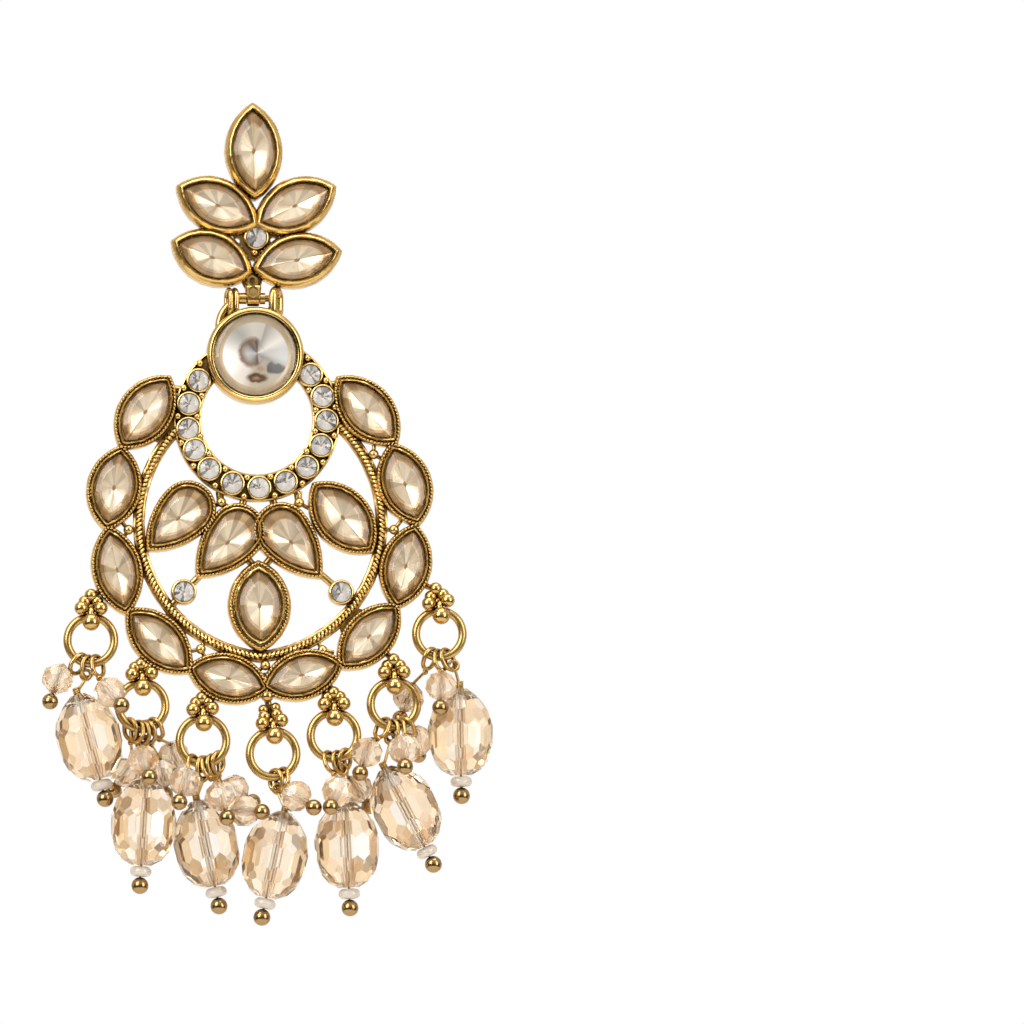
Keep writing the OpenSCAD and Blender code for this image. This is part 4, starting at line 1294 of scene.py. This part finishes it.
def camera():
    data = bpy.data.cameras.new("camera")
    data.sensor_width = 36
    data.lens = 36 * DISTANCE / VIEW_WIDTH
    data.clip_start = 0.01
    made = bpy.data.objects.new("camera", data)
    a, e = radians(AZIMUTH), radians(ELEVATION)
    back = Vector((sin(a) * cos(e), -cos(a) * cos(e), sin(e)))
    made.location = AIM + back * DISTANCE
    made.rotation_euler = back.to_track_quat("Z", "Y").to_euler()
    bpy.context.scene.collection.objects.link(made)
    bpy.context.scene.camera = made


def softbox(name, place, size, power, aim=(0, 0, -0.03)):
    data = bpy.data.lights.new(name, "AREA")
    data.shape = "RECTANGLE"
    data.size, data.size_y = size
    data.energy = power
    made = bpy.data.objects.new(name, data)
    made.location = place
    made.rotation_euler = (Vector(place) - Vector(aim)).to_track_quat("Z", "Y").to_euler()
    bpy.context.scene.collection.objects.link(made)


def studio():
    """A pale floor under soft lights, in a room that is bright above and behind and dim below"""
    bm = bmesh.new()
    bmesh.ops.create_circle(bm, cap_ends=True, segments=96, radius=0.3)
    mesh = bpy.data.meshes.new("floor")
    bm.to_mesh(mesh)
    bm.free()
    floor = bpy.data.objects.new("floor", mesh)
    floor.location.z = FLOOR_Z
    bpy.context.scene.collection.objects.link(floor)
    material, tree, shader = fresh("floor_paper")
    shader.inputs["Base Color"].default_value = (0.82, 0.81, 0.79, 1)
    shader.inputs["Roughness"].default_value = 0.9
    mesh.materials.append(material)

    world = bpy.data.worlds.new("studio")
    world.use_nodes = True
    tree = world.node_tree
    aim = node(tree, "TexCoord").outputs["Generated"]
    way = node(tree, "SeparateXYZ", {"Vector": aim})
    height = node(tree, "MapRange", {"Value": way.outputs["Z"], "From Min": -1, "From Max": 1})
    depth = node(tree, "MapRange", {"Value": way.outputs["Y"], "From Min": -1, "From Max": 1})
    room = ramp(tree, height.outputs["Result"], (0.0, (0.5, 0.46, 0.41)), (0.2, (0.3, 0.25, 0.2)),
        (0.36, (0.1, 0.08, 0.06)), (0.5, (0.14, 0.12, 0.1)), (0.6, (0.42, 0.4, 0.37)), (0.8, 0.75))
    walls = ramp(tree, noise(tree, aim, 4.0, 2), (0.36, (0.3, 0.2, 0.12)), (0.5, (0.8, 0.66, 0.5)),
        (0.62, (1.2, 1.12, 1.0)))
    rear = ramp(tree, depth.outputs["Result"], (0.5, 0.0), (0.62, 1.0))
    around = mixed(tree, rear, room, walls)
    behind = ramp(tree, depth.outputs["Result"], (0.95, 0.0), (0.99, 1.0))
    around = mixed(tree, behind, around, (1.0, 1.0, 1.0))
    path = node(tree, "LightPath").outputs
    through = mixed(tree, behind, walls, (1.1, 1.1, 1.1))
    around = mixed(tree, path["Is Transmission Ray"], around, through)
    shown = mixed(tree, path["Is Camera Ray"], around, (1.0, 1.0, 1.0))
    tree.links.new(shown, tree.nodes["Background"].inputs["Color"])
    bpy.context.scene.world = world

    softbox("left", (-0.5, -0.55, 0.3), (0.42, 0.6), 4.4)
    softbox("right", (0.55, -0.5, 0.12), (0.34, 0.6), 2.6)
    softbox("top", (0.0, -0.15, 0.6), (0.7, 0.45), 3.4)
    bpy.context.scene.view_settings.view_transform = "Standard"


camera()
studio()
grain = grain_shape()
settings_piece("stud_leaves", [(leaf_outline(row), leaf_place(row), row[2]) for row in LEAVES],
    LEAF_LIP, grain, LEAF_GRAIN_AT, "stud", ["stud_frame"])
settings_piece("rim_settings", [(rim_outline(row), rim_place(row), rim_lean(row)) for row in RIMS],
    RIM_LIP, grain, MILGRAIN_AT, "drop", ["drop_frame"])
settings_piece("petal_settings", [(petal_outline(row), ring_share(row), row[2]) for row in PETALS],
    RIM_LIP, grain, MILGRAIN_AT, "drop", ["drop_frame"])
stud_hub()
crescent()
round_bezel()
rope_ring()
fillers_and_bridges()
hangers()
hanging_loops()
stones()
jump_rings()
wire_links()
head_pins()
small_pins()
seeds()
beads()

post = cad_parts["ear_post"]
post.data.materials.clear()
post.data.materials.append(ring_gold)
